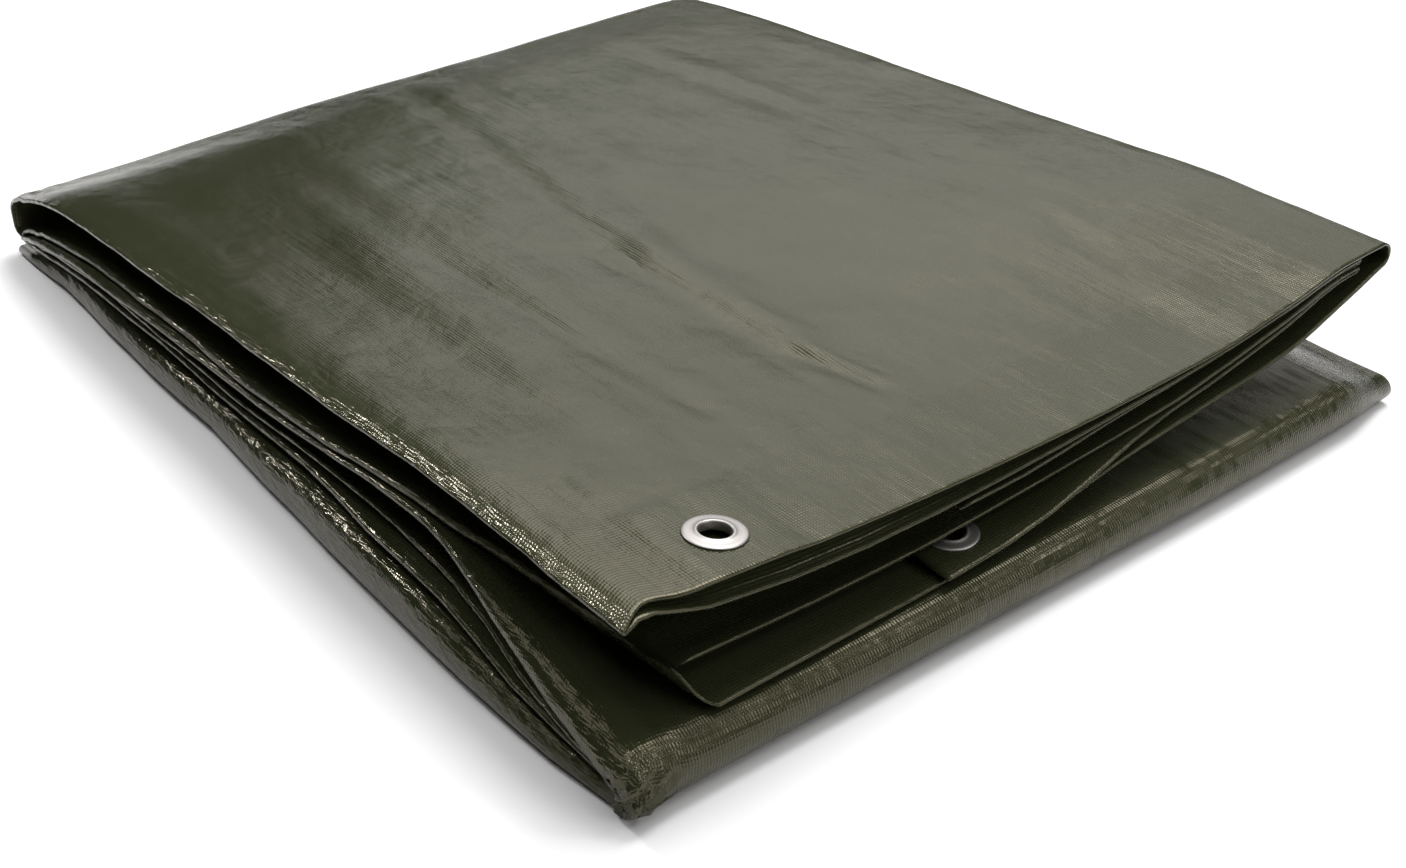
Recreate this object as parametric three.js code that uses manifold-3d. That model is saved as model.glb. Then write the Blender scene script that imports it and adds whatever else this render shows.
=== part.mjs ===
// A poly tarp folded into a six-ply strip and then folded back and forth into three sections.
import * as THREE from "three";
import { mergeVertices } from "three/addons/utils/BufferGeometryUtils.js";
import Module from "manifold-3d";

const wasm = await Module();
wasm.setup();

// Sizes in millimetres. X runs along the front hem edges, Y from front to back, Z up.
const SHEET_THICKNESS = 1.1;
const FRONT_WIDTH = 450;
// Depth of the upper section at its right side, where it stands off the middle one.
const RIGHT_DEPTH = 15;
const LEFT_SKEW = 0.056;
const RIGHT_SKEW = 0.1;
const BACK_TURN_Y = 549;
const CREASE_SPACING = 2.3;
const PLY_SPACING = 1.7;
const PIECE_GAP = 0.3;
// Share of the width at which the two inner creases lie, in the upper and in the lower sections.
const INNER_UPPER = 0.952;
const INNER_LOWER = 0.9;
// How far the upper share drifts inwards from the front to the back turn.
const INNER_DRIFT = 0.03;
// Step across from an inner crease to the next station of the ply that passes it.
const PAST_INNER = 0.005;
const HEM_WIDTH = 52;
// Distance over which the closed stack opens into the open front, and where that starts.
const OPENING_START = 10;
const OPENING_LENGTH = 150;
// Depth by which the upper section may sink below its right end, at the left side.
const SINK_DEPTH = 60;
// Share of the height that the two lower sections lose at the right end of the front.
const END_LOSS = 0.42;
const END_LOSS_START = 40;
const END_LOSS_LENGTH = 200;
const FRAME_SHIFT_X = 251.65;
const FRAME_SHIFT_Y = 272.35;

// Plies of the strip, numbered from the lowest (1) to the highest (6) ply of the upper section.
const LOWER_OUTER = 1;
const LOWER_FLAP = 2;
const LOWER_INNER = 3;
const UPPER_FLAP = 4;
const UPPER_INNER = 5;
const TOP_PLY = 6;
// Smallest spacing above each ply, from ply 1 to ply 2 and on to ply 6.
const LEAST_SPACING = [PLY_SPACING, CREASE_SPACING, PLY_SPACING, CREASE_SPACING, CREASE_SPACING];
const LEAST_HEIGHT = LEAST_SPACING.reduce((sum, step) => sum + step, 0);
// Share of the least height that the lower sections keep at their two sides, and where across it sets in.
const LEFT_LEAST = 0.68;
const LEFT_LEAST_START = 0.05;
const LEFT_LEAST_WIDTH = 0.2;
const RIGHT_LEAST = 0.3;
const RIGHT_LEAST_START = 0.91;
const RIGHT_LEAST_WIDTH = 0.08;

// Heights of the section faces at the left side, the middle and the right side, by distance from the front.
const SECTION_ROWS = [
  { y: 0, top: [75, 63, 75.5], middle: [26, 23.6, 23.5], lower: [12.5, 13.2, 13.2] },
  { y: 52, top: [75, 62.5, 75.5], middle: [37, 27.5, 24.5], lower: [17.5, 13.8, 13.4] },
  { y: 90, top: [74, 62, 75.5], middle: [45, 33, 27], lower: [25, 15.5, 14] },
  { y: 140, top: [71.5, 62.5, 73.5], middle: [50, 38, 31], lower: [29.5, 18, 15] },
  { y: 210, top: [67.5, 62.5, 69], middle: [45, 41, 35], lower: [29.5, 20, 16.5] },
  { y: 290, top: [64, 61.5, 64.5], middle: [38, 40.5, 37], lower: [24.5, 20.5, 17] },
  { y: 370, top: [60, 59, 61], middle: [36.5, 38.5, 36], lower: [23.8, 20, 17] },
  { y: 440, top: [56, 56, 57], middle: [34, 35, 33.5], lower: [22.5, 18.5, 16.5] },
  { y: 500, top: [49.5, 52, 53], middle: [26, 30, 30], lower: [17.5, 16, 15] },
  { y: 549, top: [37, 44.5, 48], middle: [14.5, 24, 26], lower: [9.6, 13.4, 13.4] },
];
// Part of the spare height that opens above each ply, from ply 1 up, in the upper, middle and bottom section.
const SPARE_SHARE = {
  upper: [0.03, 0.05, 0.4, 0.42, 0.1],
  middle: [0.05, 0.1, 0.35, 0.4, 0.1],
  bottom: [0.4, 0.38, 0.06, 0.06, 0.1],
};
// The same for the front left corner of the middle section, where its first crease stands tall.
const CORNER_SHARE = [0.46, 0.46, 0.02, 0.03, 0.03];
const CORNER_LENGTH = 110;
const CORNER_WIDTH = 0.2;
// Heights of the six front hem edges across the front, in the upper section.
const FRONT_ROWS = [
  { x: 0, plies: [28.8, 33, 41.5, 60, 72, 75] },
  { x: 45, plies: [28.6, 32, 38.5, 56, 66, 75.5] },
  { x: 90, plies: [27.8, 31, 36.5, 52.5, 60, 71] },
  { x: 144, plies: [26.3, 30, 35.7, 50.5, 56.8, 66.8] },
  { x: 198, plies: [27.5, 31.3, 38.5, 50.8, 57, 64] },
  { x: 256, plies: [36, 41.5, 44, 55.3, 58.9, 62.8] },
  { x: 315, plies: [41, 47, 51, 58.8, 61.1, 63.4] },
  { x: 373, plies: [45.5, 56, 60, 64.3, 66.6, 68.9] },
  { x: 420, plies: [56.5, 66.2, 68.7, 70.4, 72.7, 75] },
  { x: 450, plies: [65.2, 66.9, 69.2, 70.9, 73.2, 75.5] },
];
// How far each front hem edge stands behind the front line, by distance across the front.
const EDGE_ROWS = [
  { x: 0, plies: [-5, 4, 9, 3, 0, 0] },
  { x: 120, plies: [-4, -7, 9, 3, 0, 0] },
  { x: 230, plies: [-2, -5, 5, 2, 0, 0] },
  { x: 300, plies: [-2, 1, 1, 2, 0, 0] },
  { x: 450, plies: [-1, 2, 1, 2, 1, 0] },
];
const EDGE_FADE_START = 20;
const EDGE_FADE_LENGTH = 70;
// Front turn of the two lower sections: the turn line behind the front line, by distance across.
const NOSE_ROWS = [
  { x: 0, y: 3 },
  { x: 100, y: -1 },
  { x: 220, y: -5 },
  { x: 330, y: -8.5 },
  { x: 450, y: -10 },
];
// Distance of the two left creases of each section from the left side, by distance from the front.
const LEFT_ROWS = [
  { y: 0, high: { upper: 0, middle: -1, bottom: -1 }, low: { upper: 33, middle: -1.1, bottom: -1.6 } },
  { y: 37, high: { upper: 0, middle: -1, bottom: -1.5 }, low: { upper: 26, middle: -1.5, bottom: -3.4 } },
  { y: 62, high: { upper: 0, middle: 0, bottom: -2 }, low: { upper: 20, middle: -1, bottom: -4.8 } },
  { y: 90, high: { upper: 0, middle: 3, bottom: -1.5 }, low: { upper: 14, middle: 0, bottom: -6.5 } },
  { y: 140, high: { upper: 0, middle: 6.5, bottom: -1 }, low: { upper: 6, middle: 3.5, bottom: -6.5 } },
  { y: 210, high: { upper: 0, middle: 6, bottom: 1.5 }, low: { upper: 3, middle: 1.5, bottom: -6 } },
  { y: 290, high: { upper: 0, middle: 5, bottom: 4 }, low: { upper: 2.5, middle: 0.5, bottom: -2.5 } },
  { y: 370, high: { upper: 0, middle: 4, bottom: 3 }, low: { upper: 2, middle: -1.5, bottom: -2 } },
  { y: 440, high: { upper: 0, middle: 3, bottom: 2.5 }, low: { upper: 1.5, middle: -3.5, bottom: -1 } },
  { y: 500, high: { upper: 0, middle: 3, bottom: 3 }, low: { upper: 1, middle: -2.5, bottom: 1 } },
  { y: 560, high: { upper: 0, middle: 4, bottom: 3 }, low: { upper: 2, middle: 0, bottom: 0 } },
];
// Share across over which the two plies of the low crease take up its offset.
const OFFSET_REACH = 0.44;

// Stations across the strip and along it, in shares of the width and in millimetres from the front.
const ACROSS = [0.09, 0.2, 0.32, 0.44, 0.57, 0.7, 0.83];
const UPPER_STATIONS = [0, 10, 37, 52, 90, 140, 210, 290, 370, 440, 500];
const MIDDLE_STATIONS = [500, 440, 370, 290, 210, 140, 90, 52];
const BOTTOM_STATIONS = [52, 90, 140, 210, 290, 370, 440, 500, 549, 556];
const BACK_TURN_STEPS = 5;
const NOSE_STEPS = 8;

// How far the outer right crease of each section stands in from the right side.
const OUTER_CREASE_INSET = { upper: 0, middle: 4, bottom: 4 };
const MOST_CREASE_REACH = 5;
// Lean of the open low left crease at the front, and the distance over which it fades out behind.
const LOW_CREASE_LEAN = 10;
const LEAN_LENGTH = 120;
// Share across at which the two free ends of the sheet lie.
const UPPER_FLAP_END = 0.37;
const LOWER_FLAP_END = 0.337;

// Eyelets: centre across and behind the hem edge, on the named ply.
const EYELETS = {
  top: { ply: TOP_PLY, x: 60.5, y: 23.5 },
  corner: { ply: LOWER_FLAP, x: 172, y: 19.5 },
  inner: { ply: UPPER_FLAP, x: 190, y: 23.5 },
};
const FRAME_SHARE = 14 / FRONT_WIDTH;
const FRAME_REACH = 8;
// The flat patch of the ply round an eyelet, and how far out the flatness fades.
const FLAT_REACH_X = 14.5;
const FLAT_REACH_Y = 20;
const FLAT_FADE = 14;
const SLOPE_REACH = 12;
// Hem strips: their ply, their ends as shares across and the depth cleared for them in the sheet.
const STRIPS = {
  hem_top: { ply: TOP_PLY, from: 0.014, to: 0.94, eyelet: "top", cut: 2.8, open: false },
  hem_corner: { ply: LOWER_FLAP, from: LOWER_FLAP_END, to: 0.9, eyelet: "corner", cut: 2, open: true },
  hem_inner: { ply: UPPER_FLAP, from: UPPER_FLAP_END, to: 0.9, eyelet: "inner", cut: 2, open: true },
};
const HOLE_RADIUS = 7.2;
const HOLE_DEPTH = 12;
// Room cleared round a strip, in piece gaps: past an open end, past a closed one and before the hem edge.
const OPEN_END_GAPS = 4;
const CLOSED_END_GAPS = 1;
const FRONT_GAPS = 4;
const RING_SEGMENTS = 24;
// Eyelet ring: flat flange above the hem, rolled lip, barrel through the hem and lower rolled end.
const EYELET_PROFILE = [
  { radius: 6, height: 1.9 },
  { radius: 6.6, height: 2.2 },
  { radius: 7.4, height: 1.8 },
  { radius: 11.6, height: 1.5 },
  { radius: 12, height: 1.15 },
  { radius: 12, height: 0.85 },
  { radius: 6.9, height: 0.85 },
  { radius: 6.9, height: -1.85 },
  { radius: 8.1, height: -1.85 },
  { radius: 8.1, height: -2.4 },
  { radius: 6.6, height: -2.6 },
  { radius: 6, height: -2.3 },
];
const WASHER_PROFILE = [
  { radius: 7.2, height: -0.85 },
  { radius: 11.5, height: -0.85 },
  { radius: 11.5, height: -1.55 },
  { radius: 7.2, height: -1.55 },
];

const SHEET_MATERIAL = { color: 0x3f4230, roughness: 0.4, metalness: 0 };
const METAL_MATERIAL = { color: 0xc8c3be, roughness: 0.35, metalness: 1 };

function smooth(t) {
  const k = Math.min(1, Math.max(0, t));
  return k * k * (3 - 2 * k);
}

function mix(a, b, t) {
  return a + (b - a) * t;
}

// Value at a place in a table of rows, eased by the slopes of the neighbouring rows.
function rowValue(rows, key, place, read) {
  const last = rows.length - 1;
  if (place <= rows[0][key]) {
    return read(rows[0]);
  }
  if (place >= rows[last][key]) {
    return read(rows[last]);
  }
  let i = 0;
  while (rows[i + 1][key] < place) {
    i += 1;
  }
  const span = rows[i + 1][key] - rows[i][key];
  const t = (place - rows[i][key]) / span;
  const rise = (read(rows[i + 1]) - read(rows[i])) / span;
  const slopeAt = (j) => {
    if (j === 0 || j === last) {
      return rise;
    }
    const before = (read(rows[j]) - read(rows[j - 1])) / (rows[j][key] - rows[j - 1][key]);
    const after = (read(rows[j + 1]) - read(rows[j])) / (rows[j + 1][key] - rows[j][key]);
    if (before * after <= 0) {
      return 0;
    }
    return (2 * before * after) / (before + after);
  };
  const a = read(rows[i]);
  const b = read(rows[i + 1]);
  const sa = slopeAt(i) * span;
  const sb = slopeAt(i + 1) * span;
  const t2 = t * t;
  const t3 = t2 * t;
  return (2 * t3 - 3 * t2 + 1) * a + (t3 - 2 * t2 + t) * sa + (3 * t2 - 2 * t3) * b + (t3 - t2) * sb;
}

// Height of a section face: left, middle and right values joined by a soft curve across.
function faceHeight(face, u, y) {
  const left = rowValue(SECTION_ROWS, "y", y, (row) => row[face][0]);
  const middle = rowValue(SECTION_ROWS, "y", y, (row) => row[face][1]);
  const right = rowValue(SECTION_ROWS, "y", y, (row) => row[face][2]);
  if (u < 0.5) {
    const away = 1 - u / 0.5;
    return mix(middle, left, face === "top" ? smooth(away) : away * away);
  }
  const height = mix(middle, right, smooth((u - 0.5) / 0.5));
  return face === "top" ? height : height * endDrop(u, y);
}

// The two lower sections thin out at the right end of the front, past their inner creases.
function endDrop(u, y) {
  const past = smooth((u - INNER_LOWER) / (1 - INNER_LOWER));
  return 1 - END_LOSS * past * (1 - smooth((y - END_LOSS_START) / END_LOSS_LENGTH));
}

function leftSide(y) {
  return LEFT_SKEW * Math.max(0, y);
}

function rightSide(y) {
  return FRONT_WIDTH + RIGHT_SKEW * Math.max(0, y);
}

function acrossX(u, y) {
  return mix(leftSide(y), rightSide(y), u);
}

function stackedHeights(bottom, top, share) {
  const spare = top - bottom - LEAST_HEIGHT;
  const heights = [bottom];
  for (let k = 0; k < LEAST_SPACING.length; k += 1) {
    heights.push(heights[k] + LEAST_SPACING[k] + spare * share[k]);
  }
  return heights;
}

// Share of the spare height above each ply at the open front, from the heights of the hem edges.
function frontShare(x) {
  const heights = [];
  for (let k = 0; k < TOP_PLY; k += 1) {
    heights.push(rowValue(FRONT_ROWS, "x", x, (row) => row.plies[k]));
  }
  const spare = heights[5] - heights[0] - LEAST_HEIGHT;
  return LEAST_SPACING.map((least, k) => (heights[k + 1] - heights[k] - least) / Math.max(spare, 0.01));
}

// Height of a ply of the upper section, which opens towards the front.
function upperHeight(ply, u, y) {
  const x = u * FRONT_WIDTH;
  const open = 1 - smooth((y - OPENING_START) / OPENING_LENGTH);
  const rest = middleTop(u, y);
  const clear = rowValue(FRONT_ROWS, "x", x, (row) => row.plies[0]) - middleTop(u, OPENING_START);
  const front = rowValue(FRONT_ROWS, "x", x, (row) => row.plies[5]);
  const closedTop = faceHeight("top", u, y);
  const sunk = closedTop - RIGHT_DEPTH - SINK_DEPTH * (1 - smooth(u));
  const closedBottom = Math.max(rest + CREASE_SPACING, sunk);
  const bottom = mix(closedBottom, Math.max(rest + clear, front - frontDepth(x)), open);
  const top = Math.max(mix(closedTop, front, open), bottom + LEAST_HEIGHT);
  const ends = frontShare(x);
  const share = SPARE_SHARE.upper.map((part, k) => mix(part, ends[k], open));
  return stackedHeights(bottom, top, share)[ply - 1];
}

// Height of a ply of the upper section, made flat round its eyelet.
function settledHeight(ply, u, y) {
  const eyelet = Object.values(EYELETS).find((row) => row.ply === ply);
  const height = upperHeight(ply, u, y);
  if (eyelet === undefined) {
    return height;
  }
  const dx = u * FRONT_WIDTH - eyelet.x;
  const dy = y - eyelet.y;
  const insideX = 1 - smooth((Math.abs(dx) - FLAT_REACH_X) / FLAT_FADE);
  const inside = insideX * (1 - smooth((Math.abs(dy) - FLAT_REACH_Y) / FLAT_FADE));
  if (inside === 0) {
    return height;
  }
  const at = (ax, ay) => upperHeight(ply, (eyelet.x + ax) / FRONT_WIDTH, eyelet.y + ay);
  const slopeX = (at(SLOPE_REACH, 0) - at(-SLOPE_REACH, 0)) / (2 * SLOPE_REACH);
  const slopeY = (at(0, SLOPE_REACH) - at(0, -SLOPE_REACH)) / (2 * SLOPE_REACH);
  return mix(height, at(0, 0) + slopeX * dx + slopeY * dy, inside);
}

function frontDepth(x) {
  const read = (ply) => rowValue(FRONT_ROWS, "x", x, (row) => row.plies[ply - 1]);
  return read(TOP_PLY) - read(LOWER_OUTER);
}

// Least section height: less at the left side, where the two flaps do not reach, and at the right end.
function leastAt(u) {
  const left = mix(LEFT_LEAST, 1, smooth((u - LEFT_LEAST_START) / LEFT_LEAST_WIDTH));
  const right = mix(1, RIGHT_LEAST, smooth((u - RIGHT_LEAST_START) / RIGHT_LEAST_WIDTH));
  return Math.min(left, right) * LEAST_HEIGHT;
}

// Highest ply of the bottom section, and lowest and highest plies of the middle one.
function bottomTop(u, y) {
  return Math.max(faceHeight("lower", u, y) - CREASE_SPACING, SHEET_THICKNESS / 2 + leastAt(u));
}

function middleBottom(u, y) {
  return bottomTop(u, y) + CREASE_SPACING;
}

function middleTop(u, y) {
  return Math.max(faceHeight("middle", u, y), middleBottom(u, y) + leastAt(u));
}

// Depth of a ply below or above ply 1 in a lower section.
function plyDepth(ply, u, height, share) {
  const least = leastAt(u) / LEAST_HEIGHT;
  const spare = height - leastAt(u);
  let depth = 0;
  for (let k = 0; k < ply - 1; k += 1) {
    depth += LEAST_SPACING[k] * least + spare * share[k];
  }
  return depth;
}

// The middle section lies turned over, so ply 1 is its highest ply.
function middleHeight(ply, u, y) {
  const top = middleTop(u, y);
  const corner = (1 - smooth(y / CORNER_LENGTH)) * (1 - smooth(u / CORNER_WIDTH));
  const share = SPARE_SHARE.middle.map((part, k) => mix(part, CORNER_SHARE[k], corner));
  return top - plyDepth(ply, u, top - middleBottom(u, y), share);
}

function bottomHeight(ply, u, y) {
  const floor = SHEET_THICKNESS / 2;
  return floor + plyDepth(ply, u, bottomTop(u, y) - floor, SPARE_SHARE.bottom);
}

// A place along the strip: its section, its distance from the front and its share of a turn.
function alongPlaces() {
  const places = UPPER_STATIONS.map((y) => ({ part: "upper", y }));
  for (let i = 0; i <= BACK_TURN_STEPS; i += 1) {
    places.push({ part: "backTurn", y: BACK_TURN_Y, turn: i / BACK_TURN_STEPS });
  }
  MIDDLE_STATIONS.forEach((y) => places.push({ part: "middle", y }));
  for (let i = 0; i <= NOSE_STEPS; i += 1) {
    places.push({ part: "nose", y: 0, turn: i / NOSE_STEPS });
  }
  BOTTOM_STATIONS.forEach((y) => places.push({ part: "bottom", y }));
  return places;
}

function plyHeight(place, ply, u) {
  if (place.part === "upper") {
    return settledHeight(ply, u, place.y);
  }
  if (place.part === "middle") {
    return middleHeight(ply, u, place.y);
  }
  return bottomHeight(ply, u, place.y);
}

function noseY(u) {
  return rowValue(NOSE_ROWS, "x", u * FRONT_WIDTH, (row) => row.y);
}

// The two flat places that a turn joins, at a share across.
function turnEnds(place, u) {
  if (place.part === "backTurn") {
    return [{ part: "upper", y: BACK_TURN_Y }, { part: "middle", y: BACK_TURN_Y }];
  }
  const y = noseY(u);
  return [{ part: "middle", y }, { part: "bottom", y }];
}

// A value read in a flat section, or blended between the two sections that a turn joins.
function blended(place, u, read) {
  if (place.turn === undefined) {
    return read(place);
  }
  const [before, after] = turnEnds(place, u);
  return mix(read(before), read(after), place.turn);
}

// Point of the sheet at a share across: the height reader is bent round the turns.
function bentPoint(place, u, shift, read) {
  if (place.turn === undefined) {
    return new THREE.Vector3(acrossX(u, place.y) + shift, place.y, read(place));
  }
  const [before, after] = turnEnds(place, u);
  const innermost = place.part === "backTurn" ? LOWER_OUTER : TOP_PLY;
  const centre = (plyHeight(before, innermost, u) + plyHeight(after, innermost, u)) / 2;
  const radius = mix(read(before) - centre, centre - read(after), place.turn);
  const angle = Math.PI * place.turn;
  const way = place.part === "backTurn" ? 1 : -1;
  const y = before.y + way * radius * Math.sin(angle);
  return new THREE.Vector3(acrossX(u, before.y) + shift, y, centre + radius * Math.cos(angle));
}

// Shift of a front hem edge, fading out behind it.
function edgeShift(ply, u, place) {
  if (place.part !== "upper") {
    return 0;
  }
  const fade = 1 - smooth((place.y - EDGE_FADE_START) / EDGE_FADE_LENGTH);
  return fade * rowValue(EDGE_ROWS, "x", u * FRONT_WIDTH, (row) => row.plies[ply - 1]);
}

// Offset of one of the two left creases from the left side, in a flat section.
function leftOffset(crease, place) {
  return rowValue(LEFT_ROWS, "y", place.y, (row) => row[crease][place.part]);
}

// Share across of the two inner creases at the right.
function innerShare(place) {
  const upper = (y) => INNER_UPPER - INNER_DRIFT * smooth(y / BACK_TURN_Y);
  const read = (at) => (at.part === "upper" ? upper(at.y) : INNER_LOWER);
  return blended(place, INNER_LOWER, read);
}

// Shares across of the flat stations, with two more that frame an eyelet.
function framedShares(name) {
  const centre = EYELETS[name].x / FRONT_WIDTH;
  return [...ACROSS, centre - FRAME_SHARE, centre + FRAME_SHARE].sort((a, b) => a - b);
}

// Stations of the strip across its six plies, from one free end to the other.
function acrossStations() {
  const run = [];
  const back = [...ACROSS].reverse();
  const flat = (ply, shares) => shares.forEach((u) => run.push({ ply, u }));
  const loop = (crease, from, to, steps) => {
    for (let i = 0; i <= steps; i += 1) {
      run.push({ crease, from, to, angle: (Math.PI * i) / steps });
    }
  };
  flat(UPPER_FLAP, [UPPER_FLAP_END, ...ACROSS.filter((u) => u > 0.4)]);
  loop("inner", UPPER_FLAP, UPPER_INNER, 3);
  flat(UPPER_INNER, back);
  loop("high", UPPER_INNER, TOP_PLY, 3);
  flat(TOP_PLY, framedShares("top"));
  run.push({ ply: TOP_PLY, u: PAST_INNER, fromInner: true });
  loop("outer", TOP_PLY, LOWER_OUTER, 5);
  run.push({ ply: LOWER_OUTER, u: PAST_INNER, fromInner: true });
  flat(LOWER_OUTER, back);
  loop("low", LOWER_OUTER, LOWER_INNER, 3);
  flat(LOWER_INNER, ACROSS);
  loop("inner", LOWER_INNER, LOWER_FLAP, 3);
  flat(LOWER_FLAP, [...back.filter((u) => u > 0.4), LOWER_FLAP_END]);
  return run;
}

// Middle surface of the sheet on a flat ply.
function plyPoint(place, ply, u) {
  let shift = 0;
  if (ply === LOWER_OUTER || ply === LOWER_INNER) {
    shift = (1 - smooth(u / OFFSET_REACH)) * blended(place, u, (at) => leftOffset("low", at));
  }
  const point = bentPoint(place, u, shift, (at) => plyHeight(at, ply, u));
  point.y += edgeShift(ply, u, place);
  return point;
}

// Middle surface of the sheet round one of its lengthways creases.
function creasePoint(place, station) {
  const inner = station.crease === "inner";
  const left = station.crease === "high" || station.crease === "low";
  const u = inner ? innerShare(place) : left ? 0 : 1;
  const half = (at) => (plyHeight(at, station.to, u) - plyHeight(at, station.from, u)) / 2;
  const middle = (at) => (plyHeight(at, station.to, u) + plyHeight(at, station.from, u)) / 2;
  const reach = Math.min(Math.abs(blended(place, u, half)), MOST_CREASE_REACH);
  let shift = (left ? -1 : 1) * reach * (Math.sin(station.angle) - 1);
  if (left) {
    shift += blended(place, u, (at) => leftOffset(station.crease, at));
  }
  const passed = station.angle / Math.PI;
  if (station.crease === "low" && place.part === "upper") {
    shift += LOW_CREASE_LEAN * (0.5 - passed) * (1 - smooth(place.y / LEAN_LENGTH));
  }
  if (station.crease === "outer" && place.part !== "upper") {
    shift -= blended(place, u, (at) => OUTER_CREASE_INSET[at.part]);
  }
  const point = bentPoint(place, u, shift, (at) => middle(at) - half(at) * Math.cos(station.angle));
  point.y += mix(edgeShift(station.from, u, place), edgeShift(station.to, u, place), passed);
  return point;
}

function sheetPoint(place, station) {
  if (station.crease !== undefined) {
    return creasePoint(place, station);
  }
  const u = station.fromInner ? innerShare(place) + station.u : station.u;
  return plyPoint(place, station.ply, u);
}

// Closed thin solid from a grid of middle points: half the thickness to each side along the normals.
function thinSolid(grid, thickness) {
  const rows = grid.length;
  const columns = grid[0].length;
  const vertices = [];
  const side = (sign) => {
    for (let i = 0; i < rows; i += 1) {
      for (let j = 0; j < columns; j += 1) {
        const along = grid[Math.min(i + 1, rows - 1)][j].clone().sub(grid[Math.max(i - 1, 0)][j]);
        const across = grid[i][Math.min(j + 1, columns - 1)].clone().sub(grid[i][Math.max(j - 1, 0)]);
        const normal = across.cross(along).normalize();
        const point = grid[i][j].clone().addScaledVector(normal, (sign * thickness) / 2);
        vertices.push(point.x, point.y, point.z);
      }
    }
  };
  side(1);
  side(-1);
  const count = rows * columns;
  const at = (i, j, layer) => layer * count + i * columns + j;
  const triangles = [];
  const quad = (a, b, c, d) => triangles.push(a, b, c, a, c, d);
  for (let i = 0; i < rows - 1; i += 1) {
    for (let j = 0; j < columns - 1; j += 1) {
      // The diagonals of all plies run the same way, so that neighbours stay parallel.
      const acrossStep = grid[i][j + 1].x - grid[i][j].x;
      const alongStep = grid[i + 1][j].y - grid[i][j].y;
      const corners = [[i, j], [i, j + 1], [i + 1, j + 1], [i + 1, j]];
      const turned = acrossStep * alongStep < 0 ? [...corners.slice(1), corners[0]] : corners;
      const upper = turned.map(([row, column]) => at(row, column, 0));
      const lower = turned.map(([row, column]) => at(row, column, 1));
      quad(upper[0], upper[1], upper[2], upper[3]);
      quad(lower[0], lower[3], lower[2], lower[1]);
    }
  }
  for (let j = 0; j < columns - 1; j += 1) {
    quad(at(0, j, 0), at(0, j, 1), at(0, j + 1, 1), at(0, j + 1, 0));
    quad(at(rows - 1, j, 0), at(rows - 1, j + 1, 0), at(rows - 1, j + 1, 1), at(rows - 1, j, 1));
  }
  for (let i = 0; i < rows - 1; i += 1) {
    quad(at(i, 0, 0), at(i + 1, 0, 0), at(i + 1, 0, 1), at(i, 0, 1));
    quad(at(i, columns - 1, 0), at(i, columns - 1, 1), at(i + 1, columns - 1, 1), at(i + 1, columns - 1, 0));
  }
  return new wasm.Manifold(
    new wasm.Mesh({
      numProp: 3,
      vertProperties: new Float32Array(vertices),
      triVerts: new Uint32Array(triangles),
    }),
  );
}

function solidOf(geometry) {
  const merged = mergeVertices(geometry.clone().deleteAttribute("normal").deleteAttribute("uv"), 1e-4);
  return new wasm.Manifold(
    new wasm.Mesh({
      numProp: 3,
      vertProperties: new Float32Array(merged.attributes.position.array),
      triVerts: new Uint32Array(merged.index.array),
    }),
  );
}

const group = new THREE.Group();
group.name = "folded_tarp";

function addPiece(name, solid, material) {
  const mesh = solid.getMesh();
  const geometry = new THREE.BufferGeometry();
  geometry.setAttribute("position", new THREE.BufferAttribute(new Float32Array(mesh.vertProperties), 3));
  geometry.setIndex(Array.from(mesh.triVerts));
  geometry.translate(-FRAME_SHIFT_X, -FRAME_SHIFT_Y, 0);
  geometry.computeVertexNormals();
  const piece = new THREE.Mesh(geometry, new THREE.MeshStandardMaterial(material));
  piece.name = name;
  group.add(piece);
}

// Hem strip of one ply: a grid of its own, with stations that frame its eyelet.
function stripGrid(strip, grow) {
  const inside = [strip.from, ...framedShares(strip.eyelet).filter((u) => u > strip.from && u < strip.to)];
  inside[0] -= (strip.open ? OPEN_END_GAPS : CLOSED_END_GAPS) * (grow / FRONT_WIDTH);
  const across = [...inside, strip.to + grow / FRONT_WIDTH];
  const between = UPPER_STATIONS.filter((y) => y > 0 && y < HEM_WIDTH);
  const along = [-FRONT_GAPS * grow, ...between, HEM_WIDTH + grow];
  return along.map((y) => across.map((u) => plyPoint({ part: "upper", y }, strip.ply, u)));
}

// Frame of an eyelet: its centre and tilt on the flat patch of its ply.
function eyeletFrame(eyelet) {
  const place = (dy) => ({ part: "upper", y: eyelet.y + dy });
  const at = (dx, dy) => plyPoint(place(dy), eyelet.ply, (eyelet.x + dx) / FRONT_WIDTH);
  const across = at(FRAME_REACH, 0).sub(at(-FRAME_REACH, 0));
  const along = at(0, FRAME_REACH).sub(at(0, -FRAME_REACH));
  const normal = across.cross(along).normalize();
  const turn = new THREE.Quaternion().setFromUnitVectors(new THREE.Vector3(0, 0, 1), normal);
  return new THREE.Matrix4().compose(at(0, 0), turn, new THREE.Vector3(1, 1, 1));
}

// Ring turned from a closed profile of radius and height rows.
function ringSolid(rows, frame) {
  const profile = rows.map((row) => new THREE.Vector2(row.radius, row.height)).reverse();
  profile.push(profile[0].clone());
  const geometry = new THREE.LatheGeometry(profile, RING_SEGMENTS);
  geometry.rotateX(Math.PI / 2);
  geometry.applyMatrix4(frame);
  return solidOf(geometry);
}

const places = alongPlaces();
const stations = acrossStations();
const sheetGrid = places.map((place) => stations.map((station) => sheetPoint(place, station)));
let sheet = thinSolid(sheetGrid, SHEET_THICKNESS);

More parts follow.
